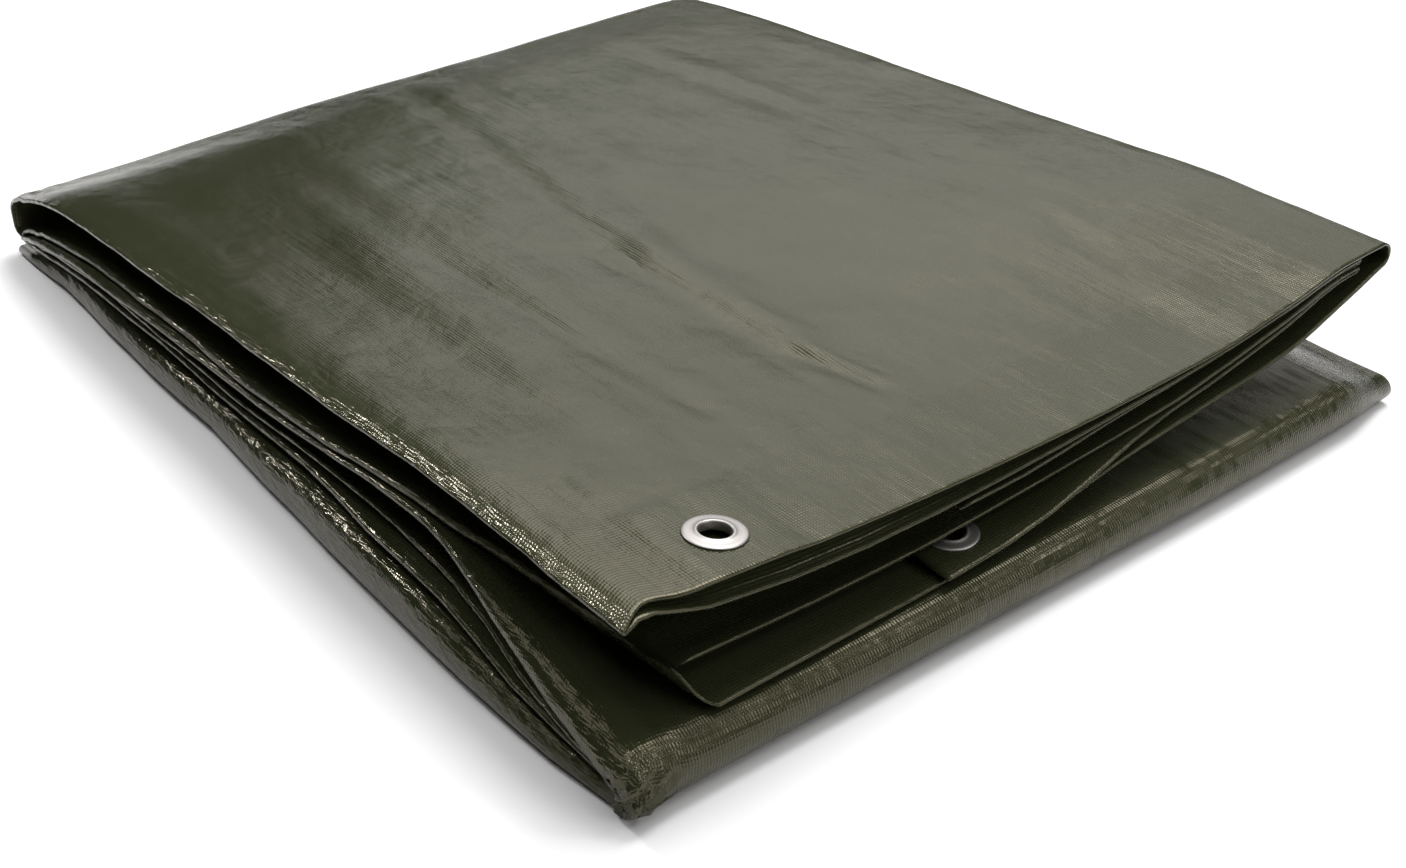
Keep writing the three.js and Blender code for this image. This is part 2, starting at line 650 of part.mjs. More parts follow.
for (const [name, strip] of Object.entries(STRIPS)) {
  const frame = eyeletFrame(EYELETS[strip.eyelet]);
  const hole = new THREE.CylinderGeometry(HOLE_RADIUS, HOLE_RADIUS, HOLE_DEPTH, RING_SEGMENTS);
  hole.rotateX(Math.PI / 2);
  hole.applyMatrix4(frame);
  sheet = sheet.subtract(thinSolid(stripGrid(strip, PIECE_GAP), strip.cut));
  addPiece(name, thinSolid(stripGrid(strip, 0), SHEET_THICKNESS).subtract(solidOf(hole)), SHEET_MATERIAL);
  addPiece("eyelet_" + strip.eyelet, ringSolid(EYELET_PROFILE, frame), METAL_MATERIAL);
  addPiece("washer_" + strip.eyelet, ringSolid(WASHER_PROFILE, frame), METAL_MATERIAL);
}
// Thin offcuts at the ends of the cleared strips are left out.
sheet = sheet.decompose().reduce((most, body) => (body.volume() > most.volume() ? body : most));
addPiece("tarp_sheet", sheet, SHEET_MATERIAL);

export default group;
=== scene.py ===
# %% [markdown]
# A folded poly tarp, dressed for its picture.
#
# The object is one large sheet of woven, laminated polyethylene with aluminium eyelets in its hems. It is
# folded into a strip of six plies, and the strip is folded back and forth into three sections. The part's
# solids follow the same folds. This script draws the sheet again on a finer grid, so that creases can be
# tight and the plies thin, and gives it its weave, its gloss and its eyelets.

from math import radians

import bpy
import numpy as np
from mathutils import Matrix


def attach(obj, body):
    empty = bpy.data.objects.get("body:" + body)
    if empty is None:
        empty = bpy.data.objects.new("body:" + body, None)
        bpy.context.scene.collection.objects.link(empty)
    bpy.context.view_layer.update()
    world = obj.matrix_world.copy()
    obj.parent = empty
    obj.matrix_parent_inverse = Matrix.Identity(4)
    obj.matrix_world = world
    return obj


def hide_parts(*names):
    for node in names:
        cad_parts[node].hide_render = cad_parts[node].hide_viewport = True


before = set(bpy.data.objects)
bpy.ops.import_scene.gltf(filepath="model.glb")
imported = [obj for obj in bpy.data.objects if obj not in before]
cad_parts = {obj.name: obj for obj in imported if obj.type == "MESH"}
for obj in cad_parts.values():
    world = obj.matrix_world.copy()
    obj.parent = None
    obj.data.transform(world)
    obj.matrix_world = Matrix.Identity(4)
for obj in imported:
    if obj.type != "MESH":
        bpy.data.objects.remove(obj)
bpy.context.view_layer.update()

# %% [markdown]
# The folds are worked out in millimetres from a corner of the front: X runs along the open hem edges, Y
# from them to the back fold and Z up. The part's own frame has its origin under the middle of the pack, so
# the last step shifts every point there. The sheet could be draped by a cloth simulation, but a pack like
# this is pressed and folded by hand, and its plies are closer than a simulation keeps apart. So its shape
# is worked out from the sizes below, which are the ones that the solids follow.

# %% Sizes of the folded pack
FRONT_WIDTH = 450.0
# How far the left and the right side drift to the right, for each millimetre from the front.
LEFT_SKEW = 0.056
RIGHT_SKEW = 0.1
BACK_TURN_Y = 549.0
HEM_WIDTH = 52.0
FRAME_SHIFT = np.array([251.65, 272.35, 0.0])
MIDDLE = 0.5
# Thickness of the sheet of the solids. The lowest ply's middle lies half of it above the floor.
SOLID_THICKNESS = 1.1
# Shares of the width at which the inner creases lie, and how far the upper one drifts in towards the back.
INNER_UPPER = 0.952
INNER_LOWER = 0.9
INNER_DRIFT = 0.03
INNER_DRIFT_LENGTH = 500.0
# Shares of the width at which the two flaps end.
UPPER_FLAP_END = 0.37
LOWER_FLAP_END = 0.337
# Shares of the width between which a ply isn't drawn towards its creases.
FIRST_SHARE = 0.09
LAST_SHARE = 0.83
print("front", FRONT_WIDTH, "mm wide, back turn", BACK_TURN_Y, "mm behind it")

# %% [markdown]
# The plies are numbered from the lowest to the highest one of the upper section. Each gap between two of
# them has a least spacing. It is smaller at the left creases, where the pack is pressed flat, and the
# height that is left over is shared out between the gaps.

# %% Plies and the gaps between them
LOWER_OUTER, LOWER_FLAP, LOWER_INNER, UPPER_FLAP, UPPER_INNER, TOP_PLY = range(1, 7)
CREASE_SPACING = 1.9
PLY_SPACING = 1.5
LEAST_SPACING = np.array([PLY_SPACING, CREASE_SPACING, PLY_SPACING, CREASE_SPACING, CREASE_SPACING])
LEAST_HEIGHT = LEAST_SPACING.sum()
GAPS = range(len(LEAST_SPACING))
PRESSED_SPACING = np.array([0.75, 0.75, 0.9, 0.9, 1.3])
# Shares of the width over which the pressed spacing grows to the least one at the left.
PRESSED_START = 0.03
PRESSED_WIDTH = 0.22
# Share of the spacing that is left at the right end, and where across the pack it sets in.
RIGHT_LEAST = 0.3
RIGHT_LEAST_START = 0.91
RIGHT_LEAST_WIDTH = 0.08
SPARE_SHARE = {
    "upper": [0.02, 0.02, 0.45, 0.49, 0.02],
    "middle": [0.02, 0.03, 0.42, 0.48, 0.05],
    "bottom": [0.42, 0.4, 0.06, 0.07, 0.05],
}
# The middle section shares its height in another way near its front left corner.
CORNER_SHARE = [0.46, 0.46, 0.02, 0.03, 0.03]
CORNER_LENGTH = 110.0
CORNER_WIDTH = 0.2
print("least height of six plies:", LEAST_HEIGHT, "mm")

# %% [markdown]
# The heights of a hand-folded pack follow no formula, so they are read from the object at a few places and
# written as short tables, one row for each place. Curves through the rows give every height between them.

# %% Heights of the sections and of the open front
# Heights of the section faces at the left, in the middle and at the right, by distance from the front.
SECTION_ROWS = [
    {"y": 0, "top": (75, 63, 75.5), "middle": (26, 23.6, 23.5), "lower": (12.5, 13.2, 13.2)},
    {"y": 52, "top": (75, 62.5, 75.5), "middle": (37, 27.5, 24.5), "lower": (17.5, 13.8, 13.4)},
    {"y": 90, "top": (74, 62, 75.5), "middle": (45, 33, 27), "lower": (25, 15.5, 14)},
    {"y": 140, "top": (71.5, 62.5, 73.5), "middle": (50, 38, 31), "lower": (29.5, 18, 15)},
    {"y": 210, "top": (67.5, 62.5, 69), "middle": (45, 41, 35), "lower": (29.5, 20, 16.5)},
    {"y": 290, "top": (64, 61.5, 64.5), "middle": (38, 40.5, 37), "lower": (24.5, 20.5, 17)},
    {"y": 370, "top": (60, 59, 61), "middle": (36.5, 38.5, 36), "lower": (23.8, 20, 17)},
    {"y": 440, "top": (56, 56, 57), "middle": (34, 35, 33.5), "lower": (22.5, 18.5, 16.5)},
    {"y": 500, "top": (49.5, 52, 53), "middle": (26, 30, 30), "lower": (17.5, 16, 15)},
    {"y": 549, "top": (37, 44.5, 48), "middle": (14.5, 24, 26), "lower": (9.6, 13.4, 13.4)},
]
# Heights of the six front hem edges, from the lowest ply to the top one, by distance across.
FRONT_ROWS = [
    {"x": 0, "plies": (28.8, 33, 41.5, 60, 73.2, 75)},
    {"x": 16, "plies": (28.8, 32.6, 40.5, 58.5, 71.5, 75.3)},
    {"x": 45, "plies": (28.6, 32, 38.5, 56, 66, 75.5)},
    {"x": 90, "plies": (27.8, 31, 36.5, 52.5, 60, 71)},
    {"x": 144, "plies": (26.3, 30, 35.7, 50.5, 56.8, 66.8)},
    {"x": 198, "plies": (27.5, 31.3, 38.5, 50.8, 57, 64)},
    {"x": 256, "plies": (36, 41.5, 44, 55.3, 58.9, 62.8)},
    {"x": 315, "plies": (41, 47, 51, 58.8, 61.1, 63.4)},
    {"x": 373, "plies": (45.5, 56, 60, 64.3, 66.6, 68.9)},
    {"x": 420, "plies": (56.5, 66.2, 68.7, 70.4, 72.7, 75)},
    {"x": 450, "plies": (65.2, 66.9, 69.2, 70.9, 73.2, 75.5)},
]
# How far each front hem edge stands behind the front line.
EDGE_ROWS = [
    {"x": 0, "plies": (-5, 4, 9, 3, 3, 3)},
    {"x": 14, "plies": (-5, 3, 9, 3, 5, 7.5)},
    {"x": 27, "plies": (-5, 2, 9, 3, 2, 3)},
    {"x": 48, "plies": (-5, 0, 9, 3, 0, 0)},
    {"x": 120, "plies": (-4, -7, 9, 3, 0, 0)},
    {"x": 230, "plies": (-2, -5, 5, 2, 0, 0)},
    {"x": 300, "plies": (-2, 1, 1, 2, 0, 0)},
    {"x": 450, "plies": (-1, 2, 1, 2, 1, 0)},
]
# Line about which the two lower sections turn at the front, by distance across.
NOSE_ROWS = [
    {"x": 0, "y": 3},
    {"x": 100, "y": -1},
    {"x": 220, "y": -5},
    {"x": 330, "y": -8.5},
    {"x": 450, "y": -10},
]
print("tables:", len(SECTION_ROWS), "section rows,", len(FRONT_ROWS), "front rows")

# %% [markdown]
# Each section has two creases at its left. The high one joins the upper inner ply and the top ply, and the
# low one joins the lower outer and the lower inner ply. They stand in or out from the left side by their
# own amounts, as the object shows, so they have a table each.

# %% How far the creases stand in
LEFT_OFFSET = {
    "high": [
        {"y": 0, "upper": 5, "middle": -1, "bottom": -1},
        {"y": 16, "upper": 4.9, "middle": -1, "bottom": -1},
        {"y": 26, "upper": 4.8, "middle": -1, "bottom": -1},
        {"y": 37, "upper": 4.7, "middle": -1, "bottom": -1.5},
        {"y": 62, "upper": 4.4, "middle": 0, "bottom": -2},
        {"y": 90, "upper": 4.2, "middle": 3, "bottom": -1.5},
        {"y": 120, "upper": 3.8, "middle": 6, "bottom": -1},
        {"y": 165, "upper": 3.3, "middle": 7, "bottom": -1},
        {"y": 210, "upper": 2.7, "middle": 6, "bottom": 1.5},
        {"y": 260, "upper": 2, "middle": 5, "bottom": 4},
        {"y": 320, "upper": 1.5, "middle": 5, "bottom": 4},
        {"y": 380, "upper": 1.2, "middle": 4, "bottom": 3},
        {"y": 440, "upper": 0.8, "middle": 3, "bottom": 2.5},
        {"y": 500, "upper": 0, "middle": 3, "bottom": 3},
        {"y": 562, "upper": 0, "middle": 4, "bottom": 3},
    ],
    "low": [
        {"y": 0, "upper": 33, "middle": -1.5, "bottom": -1},
        {"y": 16, "upper": 30, "middle": -1.5, "bottom": -2},
        {"y": 26, "upper": 28, "middle": -1.5, "bottom": -6},
        {"y": 37, "upper": 26, "middle": -1.5, "bottom": -6},
        {"y": 62, "upper": 20, "middle": -1, "bottom": -7},
        {"y": 90, "upper": 14, "middle": 0, "bottom": -7.5},
        {"y": 120, "upper": 8, "middle": 3, "bottom": -7.5},
        {"y": 165, "upper": 4, "middle": 3.5, "bottom": -7},
        {"y": 210, "upper": 2.5, "middle": 1.5, "bottom": -6.5},
        {"y": 260, "upper": 2.5, "middle": 1, "bottom": -4},
        {"y": 320, "upper": 2.5, "middle": 0.5, "bottom": -1},
        {"y": 380, "upper": 2, "middle": -1.5, "bottom": -2.5},
        {"y": 440, "upper": 1.5, "middle": -3.5, "bottom": -1},
        {"y": 500, "upper": 1, "middle": -2.5, "bottom": 1.5},
        {"y": 562, "upper": 2, "middle": 0, "bottom": 0},
    ],
}
RIGHT_OFFSET = {
    "outer": {"upper": 0, "middle": -4, "bottom": -4},
    "inner": {"upper": 0, "middle": 0, "bottom": 0},
}
print("left creases:", list(LEFT_OFFSET), "right creases:", list(RIGHT_OFFSET))

# %% [markdown]
# Three small helpers turn the tables into smooth surfaces. An easing curve starts and ends level. A mix
# goes from one value to another. A row curve passes through the rows of a table with slopes that never
# overshoot, which keeps neighbouring plies apart between the rows.

# %% Easing, mixing and row curves
def ease(t):
    """Three t squared minus two t cubed, held at its ends."""
    k = np.clip(t, 0.0, 1.0)
    return k * k * (3.0 - 2.0 * k)


def mix(a, b, t):
    """The first value plus the share t of the way to the second."""
    return a + (b - a) * t


def row_curve(rows, key, place, read):
    """Cubic through the rows whose slope at a row is the harmonic mean of the slopes beside it."""
    xs = np.array([row[key] for row in rows], float)
    ys = np.array([read(row) for row in rows], float)
    rise = np.diff(ys) / np.diff(xs)
    slopes = np.empty(len(xs))
    slopes[0], slopes[-1] = rise[0], rise[-1]
    before, after = rise[:-1], rise[1:]
    same = before * after > 0
    slopes[1:-1] = np.where(same, 2 * before * after / np.where(same, before + after, 1.0), 0.0)
    at = np.clip(place, xs[0], xs[-1])
    i = np.clip(np.searchsorted(xs, at) - 1, 0, len(xs) - 2)
    span = xs[i + 1] - xs[i]
    t = (at - xs[i]) / span
    t2, t3 = t * t, t * t * t
    start = (2 * t3 - 3 * t2 + 1) * ys[i] + (t3 - 2 * t2 + t) * slopes[i] * span
    end = (3 * t2 - 2 * t3) * ys[i + 1] + (t3 - t2) * slopes[i + 1] * span
    return start + end


print("ease at a quarter:", float(ease(0.25)))


# %% [markdown]
# The top of a real folded tarp is never flat: the stiff laminate keeps the memory of other folds. A long
# trough with a crest beside it runs from the far left to the middle and ends in a short sharp pinch. Streaks
# run down the left side, and shorter pairs lie by the right side and near the back. They could be sculpted.
# Here each is a soft hump along a listed line, in its own size, and all of them lift the
# face of the upper section, so the plies under it follow. Two products of slow sines add the broad swell
# and the shallow dents of a sheet that has been handled.

# %% Ridges, troughs and pinches of the top ply
RIDGES = [
    {"x0": 234, "y0": 500, "x1": 191, "y1": 240, "width": 9, "height": 0.8, "fade": 30},
    {"x0": 216, "y0": 500, "x1": 173, "y1": 240, "width": 9, "height": -0.8, "fade": 30},
    {"x0": 192, "y0": 240, "x1": 191, "y1": 120, "width": 9, "height": 1.3, "fade": 24},
    {"x0": 172, "y0": 240, "x1": 174, "y1": 120, "width": 9, "height": -1.3, "fade": 24},
    {"x0": 180, "y0": 114, "x1": 187, "y1": 74, "width": 4.2, "height": -1.3, "fade": 10},
    {"x0": 186, "y0": 116, "x1": 193, "y1": 76, "width": 4.2, "height": 1.3, "fade": 10},
    {"x0": 20, "y0": 480, "x1": 15, "y1": 120, "width": 20, "height": 2.4, "fade": 60},
    {"x0": 66, "y0": 330, "x1": 62, "y1": 100, "width": 9, "height": -0.6, "fade": 50},
    {"x0": 96, "y0": 400, "x1": 82, "y1": 110, "width": 11, "height": 0.8, "fade": 50},
    {"x0": 106, "y0": 280, "x1": 117, "y1": 84, "width": 6, "height": -0.8, "fade": 40},
    {"x0": 130, "y0": 420, "x1": 128, "y1": 200, "width": 12, "height": 0.6, "fade": 60},
    {"x0": 262, "y0": 470, "x1": 240, "y1": 330, "width": 10, "height": 0.7, "fade": 40},
    {"x0": 330, "y0": 330, "x1": 300, "y1": 190, "width": 14, "height": 0.9, "fade": 40},
    {"x0": 300, "y0": 112, "x1": 296, "y1": 72, "width": 4, "height": 0.9, "fade": 14},
    {"x0": 357, "y0": 140, "x1": 347, "y1": 82, "width": 3.6, "height": -1.0, "fade": 12},
    {"x0": 364, "y0": 142, "x1": 354, "y1": 84, "width": 5, "height": 0.8, "fade": 14},
    {"x0": 356, "y0": 452, "x1": 365, "y1": 330, "width": 7, "height": 0.9, "fade": 22},
    {"x0": 342, "y0": 450, "x1": 350, "y1": 330, "width": 7, "height": -0.7, "fade": 22},
    {"x0": 446, "y0": 420, "x1": 454, "y1": 330, "width": 7, "height": -0.9, "fade": 20},
    {"x0": 428, "y0": 420, "x1": 440, "y1": 335, "width": 9, "height": 1.0, "fade": 24},
    {"x0": 398, "y0": 240, "x1": 388, "y1": 150, "width": 12, "height": 0.8, "fade": 40},
]
SWELL = {"height": 0.5, "sines": [{"x": 61, "y": 140, "phase": 0.6}, {"x": -300, "y": 83, "phase": 0.0}]}
DENTS = {
    "height": 0.28,
    "sines": [
        {"x": 15, "y": 47, "phase": 1.0},
        {"x": -60, "y": 26, "phase": 1.1},
        {"x": 38, "y": -90, "phase": 0.0},
    ],
}
# Distance behind the front, and share of the width at the right, over which the relief sets in.
RELIEF_LENGTH = 60.0
RELIEF_WIDTH = 0.06


def hump(x, y, row):
    """Bell across a line, eased out over its ends: height times exp of minus distance over width squared."""
    along = np.array([row["x1"] - row["x0"], row["y1"] - row["y0"]], float)
    length = np.hypot(*along)
    along /= length
    dx, dy = x - row["x0"], y - row["y0"]
    run = dx * along[0] + dy * along[1]
    off = dx * along[1] - dy * along[0]
    ends = ease((run + row["fade"]) / row["fade"]) * ease((length + row["fade"] - run) / row["fade"])
    return row["height"] * np.exp(-((off / row["width"]) ** 2)) * ends


def slow_wave(x, y, wave):
    """Height times the product of sines, each of x and y over its own lengths, plus its phase."""
    value = wave["height"]
    for sine in wave["sines"]:
        value = value * np.sin(x / sine["x"] + y / sine["y"] + sine["phase"])
    return value


def top_relief(u, y):
    """Sum of all humps and slow waves, eased in behind the front edge and at the right side."""
    x = u * FRONT_WIDTH
    relief = sum(hump(x, y, row) for row in RIDGES)
    relief = relief + slow_wave(x, y, SWELL) + slow_wave(x, y, DENTS)
    return relief * ease(y / RELIEF_LENGTH) * ease((1 - u) / RELIEF_WIDTH)


print("ridges on the top ply:", len(RIDGES))


# %% [markdown]
# Each section has a face above and below it, given by three heights across. The two lower sections rest
# on each other and lose some of their height at the right end of the front, where the pack thins out.

# %% Faces of the sections
# Share of the height that the lower sections lose at the right end, and over which distance that ends.
END_LOSS = 0.42
END_LOSS_START = 40.0
END_LOSS_LENGTH = 200.0


def end_drop(u, y):
    """One less the loss, eased in towards the right end and out towards the back."""
    past = ease((u - INNER_LOWER) / (1 - INNER_LOWER))
    return 1 - END_LOSS * past * (1 - ease((y - END_LOSS_START) / END_LOSS_LENGTH))


def face_height(face, u, y):
    """The left, middle and right heights at a distance from the front, mixed across with level ends."""
    left, middle, right = (row_curve(SECTION_ROWS, "y", y, lambda row, k=k: row[face][k]) for k in range(3))
    away = np.clip(1 - u / MIDDLE, 0, 1)
    near = ease(away) if face == "top" else away * away
    past = ease((u - MIDDLE) / MIDDLE)
    height = np.where(u < MIDDLE, mix(middle, left, near), mix(middle, right, past))
    if face == "top":
        return height + top_relief(u, y)
    return height * end_drop(u, y)


def least_spacing(k, u):
    """Least height between two neighbouring plies: pressed together at the left and right creases."""
    at_left = mix(PRESSED_SPACING[k], LEAST_SPACING[k], ease((u - PRESSED_START) / PRESSED_WIDTH))
    return at_left * mix(1, RIGHT_LEAST, ease((u - RIGHT_LEAST_START) / RIGHT_LEAST_WIDTH))


def least_at(u):
    return sum(least_spacing(k, u) for k in GAPS)


def bottom_top(u, y):
    return np.maximum(face_height("lower", u, y) - CREASE_SPACING, SOLID_THICKNESS / 2 + least_at(u))


def middle_bottom(u, y):
    return bottom_top(u, y) + CREASE_SPACING


def middle_top(u, y):
    return np.maximum(face_height("middle", u, y), middle_bottom(u, y) + least_at(u))


print("top of the middle section at its middle:", float(middle_top(np.array(0.5), np.array(280.0))), "mm")


# %% [markdown]
# The upper section is a closed stack at the back and stands open at the front, where the front table says
# how high each hem edge is. The change from one to the other is eased over 150 mm. The two top plies roll
# down a little towards their left crease, and just behind the open edge the second ply drops away from the
# top one, which gives the front left corner its small lip.

# %% Upper section with its open front
# Depth of the upper section at its right side, and how far more it may sink at the left.
RIGHT_DEPTH = 15.0
SINK_DEPTH = 60.0
OPENING_START = 10.0
OPENING_LENGTH = 150.0
# Spare height below which the front table's gaps count as closed.
LEAST_SPARE = 0.01
LIP_LENGTH = 14.0
LIP_GAP = 0.3
ROLL_WIDTH = 10.0
# How far the top ply rolls down towards its left crease, by distance from the front.
ROLL_ROWS = [
    {"y": 0, "drop": 2.4},
    {"y": 60, "drop": 2.3},
    {"y": 120, "drop": 1.9},
    {"y": 180, "drop": 1.4},
    {"y": 260, "drop": 0.8},
    {"y": 400, "drop": 0.5},
    {"y": 500, "drop": 0},
]


def front_height(ply, x):
    return row_curve(FRONT_ROWS, "x", x, lambda row: row["plies"][ply - 1])


def opening_share(y):
    """One at the open front, eased to nought where the stack is closed."""
    return 1 - ease((y - OPENING_START) / OPENING_LENGTH)


def roll_drop(u, y):
    """Fall of the two top plies near the left side: the cube of the share of the roll still ahead."""
    inside = np.maximum(0, 1 - u * FRONT_WIDTH / ROLL_WIDTH)
    return row_curve(ROLL_ROWS, "y", y, lambda row: row["drop"]) * inside**3


def upper_limits(u, y, least):
    """Heights of the lowest and the highest ply: those of the closed stack eased into those of the front."""
    x = u * FRONT_WIDTH
    opened = opening_share(y)
    rest = middle_top(u, y)
    clear = front_height(LOWER_OUTER, x) - middle_top(u, np.full_like(y, OPENING_START))
    closed_top = face_height("top", u, y)
    sunk = closed_top - RIGHT_DEPTH - SINK_DEPTH * (1 - ease(u))
    closed_bottom = np.maximum(rest + CREASE_SPACING, sunk)
    front_bottom = np.maximum(rest + clear, front_height(LOWER_OUTER, x))
    bottom = mix(closed_bottom, front_bottom, opened)
    top = np.maximum(mix(closed_top, front_height(TOP_PLY, x), opened), bottom + least)
    return bottom, top


def upper_shares(u, y, spacings, least):
    """Share of the spare height in each gap: the closed one eased into that of the front, and the lip."""
    opened = opening_share(y)
    edges = [front_height(ply, u * FRONT_WIDTH) for ply in range(LOWER_OUTER, TOP_PLY + 1)]
    spare = np.maximum(edges[-1] - edges[0] - least, LEAST_SPARE)
    ends = [(edges[k + 1] - edges[k] - spacings[k]) / spare for k in GAPS]
    shares = [mix(SPARE_SHARE["upper"][k], ends[k], opened) for k in GAPS]
    lip = shares[-1] * (1 - LIP_GAP) * ease(y / LIP_LENGTH) * opened
    return [*shares[:-2], shares[-2] + lip, shares[-1] - lip]


def upper_height(ply, u, y):
    """Height of a ply in the upper section: the spacings and the shares of the spare height below it."""
    least = np.where(u < MIDDLE, least_at(u), LEAST_HEIGHT)
    spacings = [np.where(u < MIDDLE, least_spacing(k, u), LEAST_SPACING[k]) for k in GAPS]
    bottom, top = upper_limits(u, y, least)
    shares = upper_shares(u, y, spacings, least)
    height = bottom
    for k in range(ply - 1):
        height = height + spacings[k] + (top - bottom - least) * shares[k]
    return height - roll_drop(u, y) if ply >= UPPER_INNER else height


front_corner = upper_height(TOP_PLY, np.array([[0.1]]), np.array([[0.0]]))
print("top ply near the front left corner:", float(front_corner[0, 0]), "mm")


# %% [markdown]
# A pressed eyelet is stiff and holds the cloth round it flat. The plies that hold one are therefore made
# plane over a patch round it, with the slope that they have there.

# %% Flat patches round the eyelets
EYELETS = {
    "top": {"ply": TOP_PLY, "x": 60.5, "y": 23.5},
    "corner": {"ply": LOWER_FLAP, "x": 172.0, "y": 19.5},
    "inner": {"ply": UPPER_FLAP, "x": 190.0, "y": 23.5},
}
FLAT_REACH_X = 14.5
FLAT_REACH_Y = 20.0
FLAT_FADE = 14.0
SLOPE_REACH = 12.0


def flattened(height, ply, u, y, eyelet):
    """The plane through the ply at the eyelet, with the slopes over a short reach, eased into the height."""

    def at(dx, dy):
        return upper_height(
            ply, np.array([[(eyelet["x"] + dx) / FRONT_WIDTH]]), np.array([[eyelet["y"] + dy]])
        )

    dx, dy = u * FRONT_WIDTH - eyelet["x"], y - eyelet["y"]
    inside_x = 1 - ease((abs(dx) - FLAT_REACH_X) / FLAT_FADE)
    inside_y = 1 - ease((abs(dy) - FLAT_REACH_Y) / FLAT_FADE)
    slope_x = (at(SLOPE_REACH, 0) - at(-SLOPE_REACH, 0)) / (2 * SLOPE_REACH)
    slope_y = (at(0, SLOPE_REACH) - at(0, -SLOPE_REACH)) / (2 * SLOPE_REACH)
    return mix(height, at(0, 0) + slope_x * dx + slope_y * dy, inside_x * inside_y)


def settled_height(ply, u, y):
    height = upper_height(ply, u, y)
    for eyelet in EYELETS.values():
        if eyelet["ply"] == ply:
            height = flattened(height, ply, u, y, eyelet)
    return height


print("eyelets:", list(EYELETS))


# %% [markdown]
# The middle section counts its plies down from its top face, and the bottom one counts them up from the
# floor. The strip turns over between them, so the same ply number lies in the mirrored place.

# %% Height of any ply in any section
def ply_depth(ply, u, height, share):
    """Sum of the spacings passed and of their shares of what the height leaves over."""
    spare = height - least_at(u)
    steps = [least_spacing(k, u) + spare * share[k] for k in range(ply - 1)]
    return sum(steps, np.zeros_like(spare))


def ply_height(part, ply, u, y):
    u, y = np.broadcast_arrays(np.asarray(u, float), np.asarray(y, float))
    if part == "upper":
        return settled_height(ply, u, y)
    if part == "middle":
        top = middle_top(u, y)
        corner = (1 - ease(y / CORNER_LENGTH)) * (1 - ease(u / CORNER_WIDTH))
        share = [mix(a, b, corner) for a, b in zip(SPARE_SHARE["middle"], CORNER_SHARE)]
        return top - ply_depth(ply, u, top - middle_bottom(u, y), share)
    floor_gap = SOLID_THICKNESS / 2
    return floor_gap + ply_depth(ply, u, bottom_top(u, y) - floor_gap, SPARE_SHARE["bottom"])


print("top ply at the middle of the pack:", float(ply_height("upper", TOP_PLY, 0.5, 280.0)), "mm")


# %% [markdown]
# The strip goes to and fro: over the upper section to the back, round the back turn, forwards through the
# middle section, round the rolled front and back again through the bottom section. In a turn, the height of
# a ply over the turn's centre line becomes its radius, so every ply keeps its place and no two ever cross.

# %% Bend the plies round the turns
# Where the front edges stop standing in or out, by distance from the front.
EDGE_FADE_START = 20.0
EDGE_FADE_LENGTH = 70.0


def left_side(y):
    return LEFT_SKEW * np.maximum(0, y)


def right_side(y):
    return FRONT_WIDTH + RIGHT_SKEW * np.maximum(0, y)


def nose_y(u):
    return row_curve(NOSE_ROWS, "x", u * FRONT_WIDTH, lambda row: row["y"])


def turn_ends(part, u):
    """The two flat places that a turn joins, each as its section and its distance from the front."""
    if part == "back":
        y = np.full_like(u, BACK_TURN_Y)
        return ("upper", y), ("middle", y)
    y = nose_y(u)
    return ("middle", y), ("bottom", y)


def blended(place, u, read):
    """A value read in a flat section, or mixed between the two sections that a turn joins."""
    if place["turn"] is None:
        return read(place["part"], np.broadcast_to(place["y"], u.shape))
    before, after = turn_ends(place["part"], u)
    return mix(read(*before), read(*after), place["turn"])


def bent(place, u, read):
    """Y and Z of the sheet: a height in a flat section, a radius about the centre line in a turn."""
    if place["turn"] is None:
        y = np.broadcast_to(place["y"], u.shape)
        return y + 0.0, read(place["part"], y)
    before, after = turn_ends(place["part"], u)
    innermost = LOWER_OUTER if place["part"] == "back" else TOP_PLY
    first = ply_height(before[0], innermost, u, before[1])
    second = ply_height(after[0], innermost, u, after[1])
    centre = (first + second) / 2
    radius = mix(read(*before) - centre, centre - read(*after), place["turn"])
    angle = np.pi * place["turn"]
    way = 1 if place["part"] == "back" else -1
    return before[1] + way * radius * np.sin(angle), centre + radius * np.cos(angle)


def side_y(place):
    """Distance from the front that sets the sides of the pack at a place along the strip."""
    if place["part"] == "back":
        return np.full_like(place["turn"], BACK_TURN_Y)
    return np.zeros_like(place["turn"]) if place["part"] == "nose" else place["y"]


def side_x(u, place):
    y = side_y(place)
    return mix(left_side(y), right_side(y), u)


def edge_shift(ply, u, place):
    """How far a ply's front hem edge stands back, faded out behind the front."""
    if place["part"] != "upper":
        return 0.0
    fade = 1 - ease((place["y"] - EDGE_FADE_START) / EDGE_FADE_LENGTH)
    return fade * row_curve(EDGE_ROWS, "x", u * FRONT_WIDTH, lambda row: row["plies"][ply - 1])


print("the pack is", float(right_side(BACK_TURN_Y) - left_side(BACK_TURN_Y)), "mm wide at the back")


# %% [markdown]
# Across the strip, each ply ends in a crease at the left or the right. A crease is half a turn of small
# radius between the two plies that it joins. Its reach is that radius, with a limit, because a tall fold of
# stiff laminate stays flat. The left creases stand in or out a little from section to section, as in any
# pack folded by hand, and the low one leans where it stands tall near the front.

# %% Where the creases run
CREASES = {
    "right_of_upper": {"kind": "inner", "from": UPPER_FLAP, "to": UPPER_INNER},
    "high_left": {"kind": "high", "from": UPPER_INNER, "to": TOP_PLY},
    "right_outer": {"kind": "outer", "from": TOP_PLY, "to": LOWER_OUTER},
    "low_left": {"kind": "low", "from": LOWER_OUTER, "to": LOWER_INNER},
    "right_of_lower": {"kind": "inner", "from": LOWER_INNER, "to": LOWER_FLAP},
}
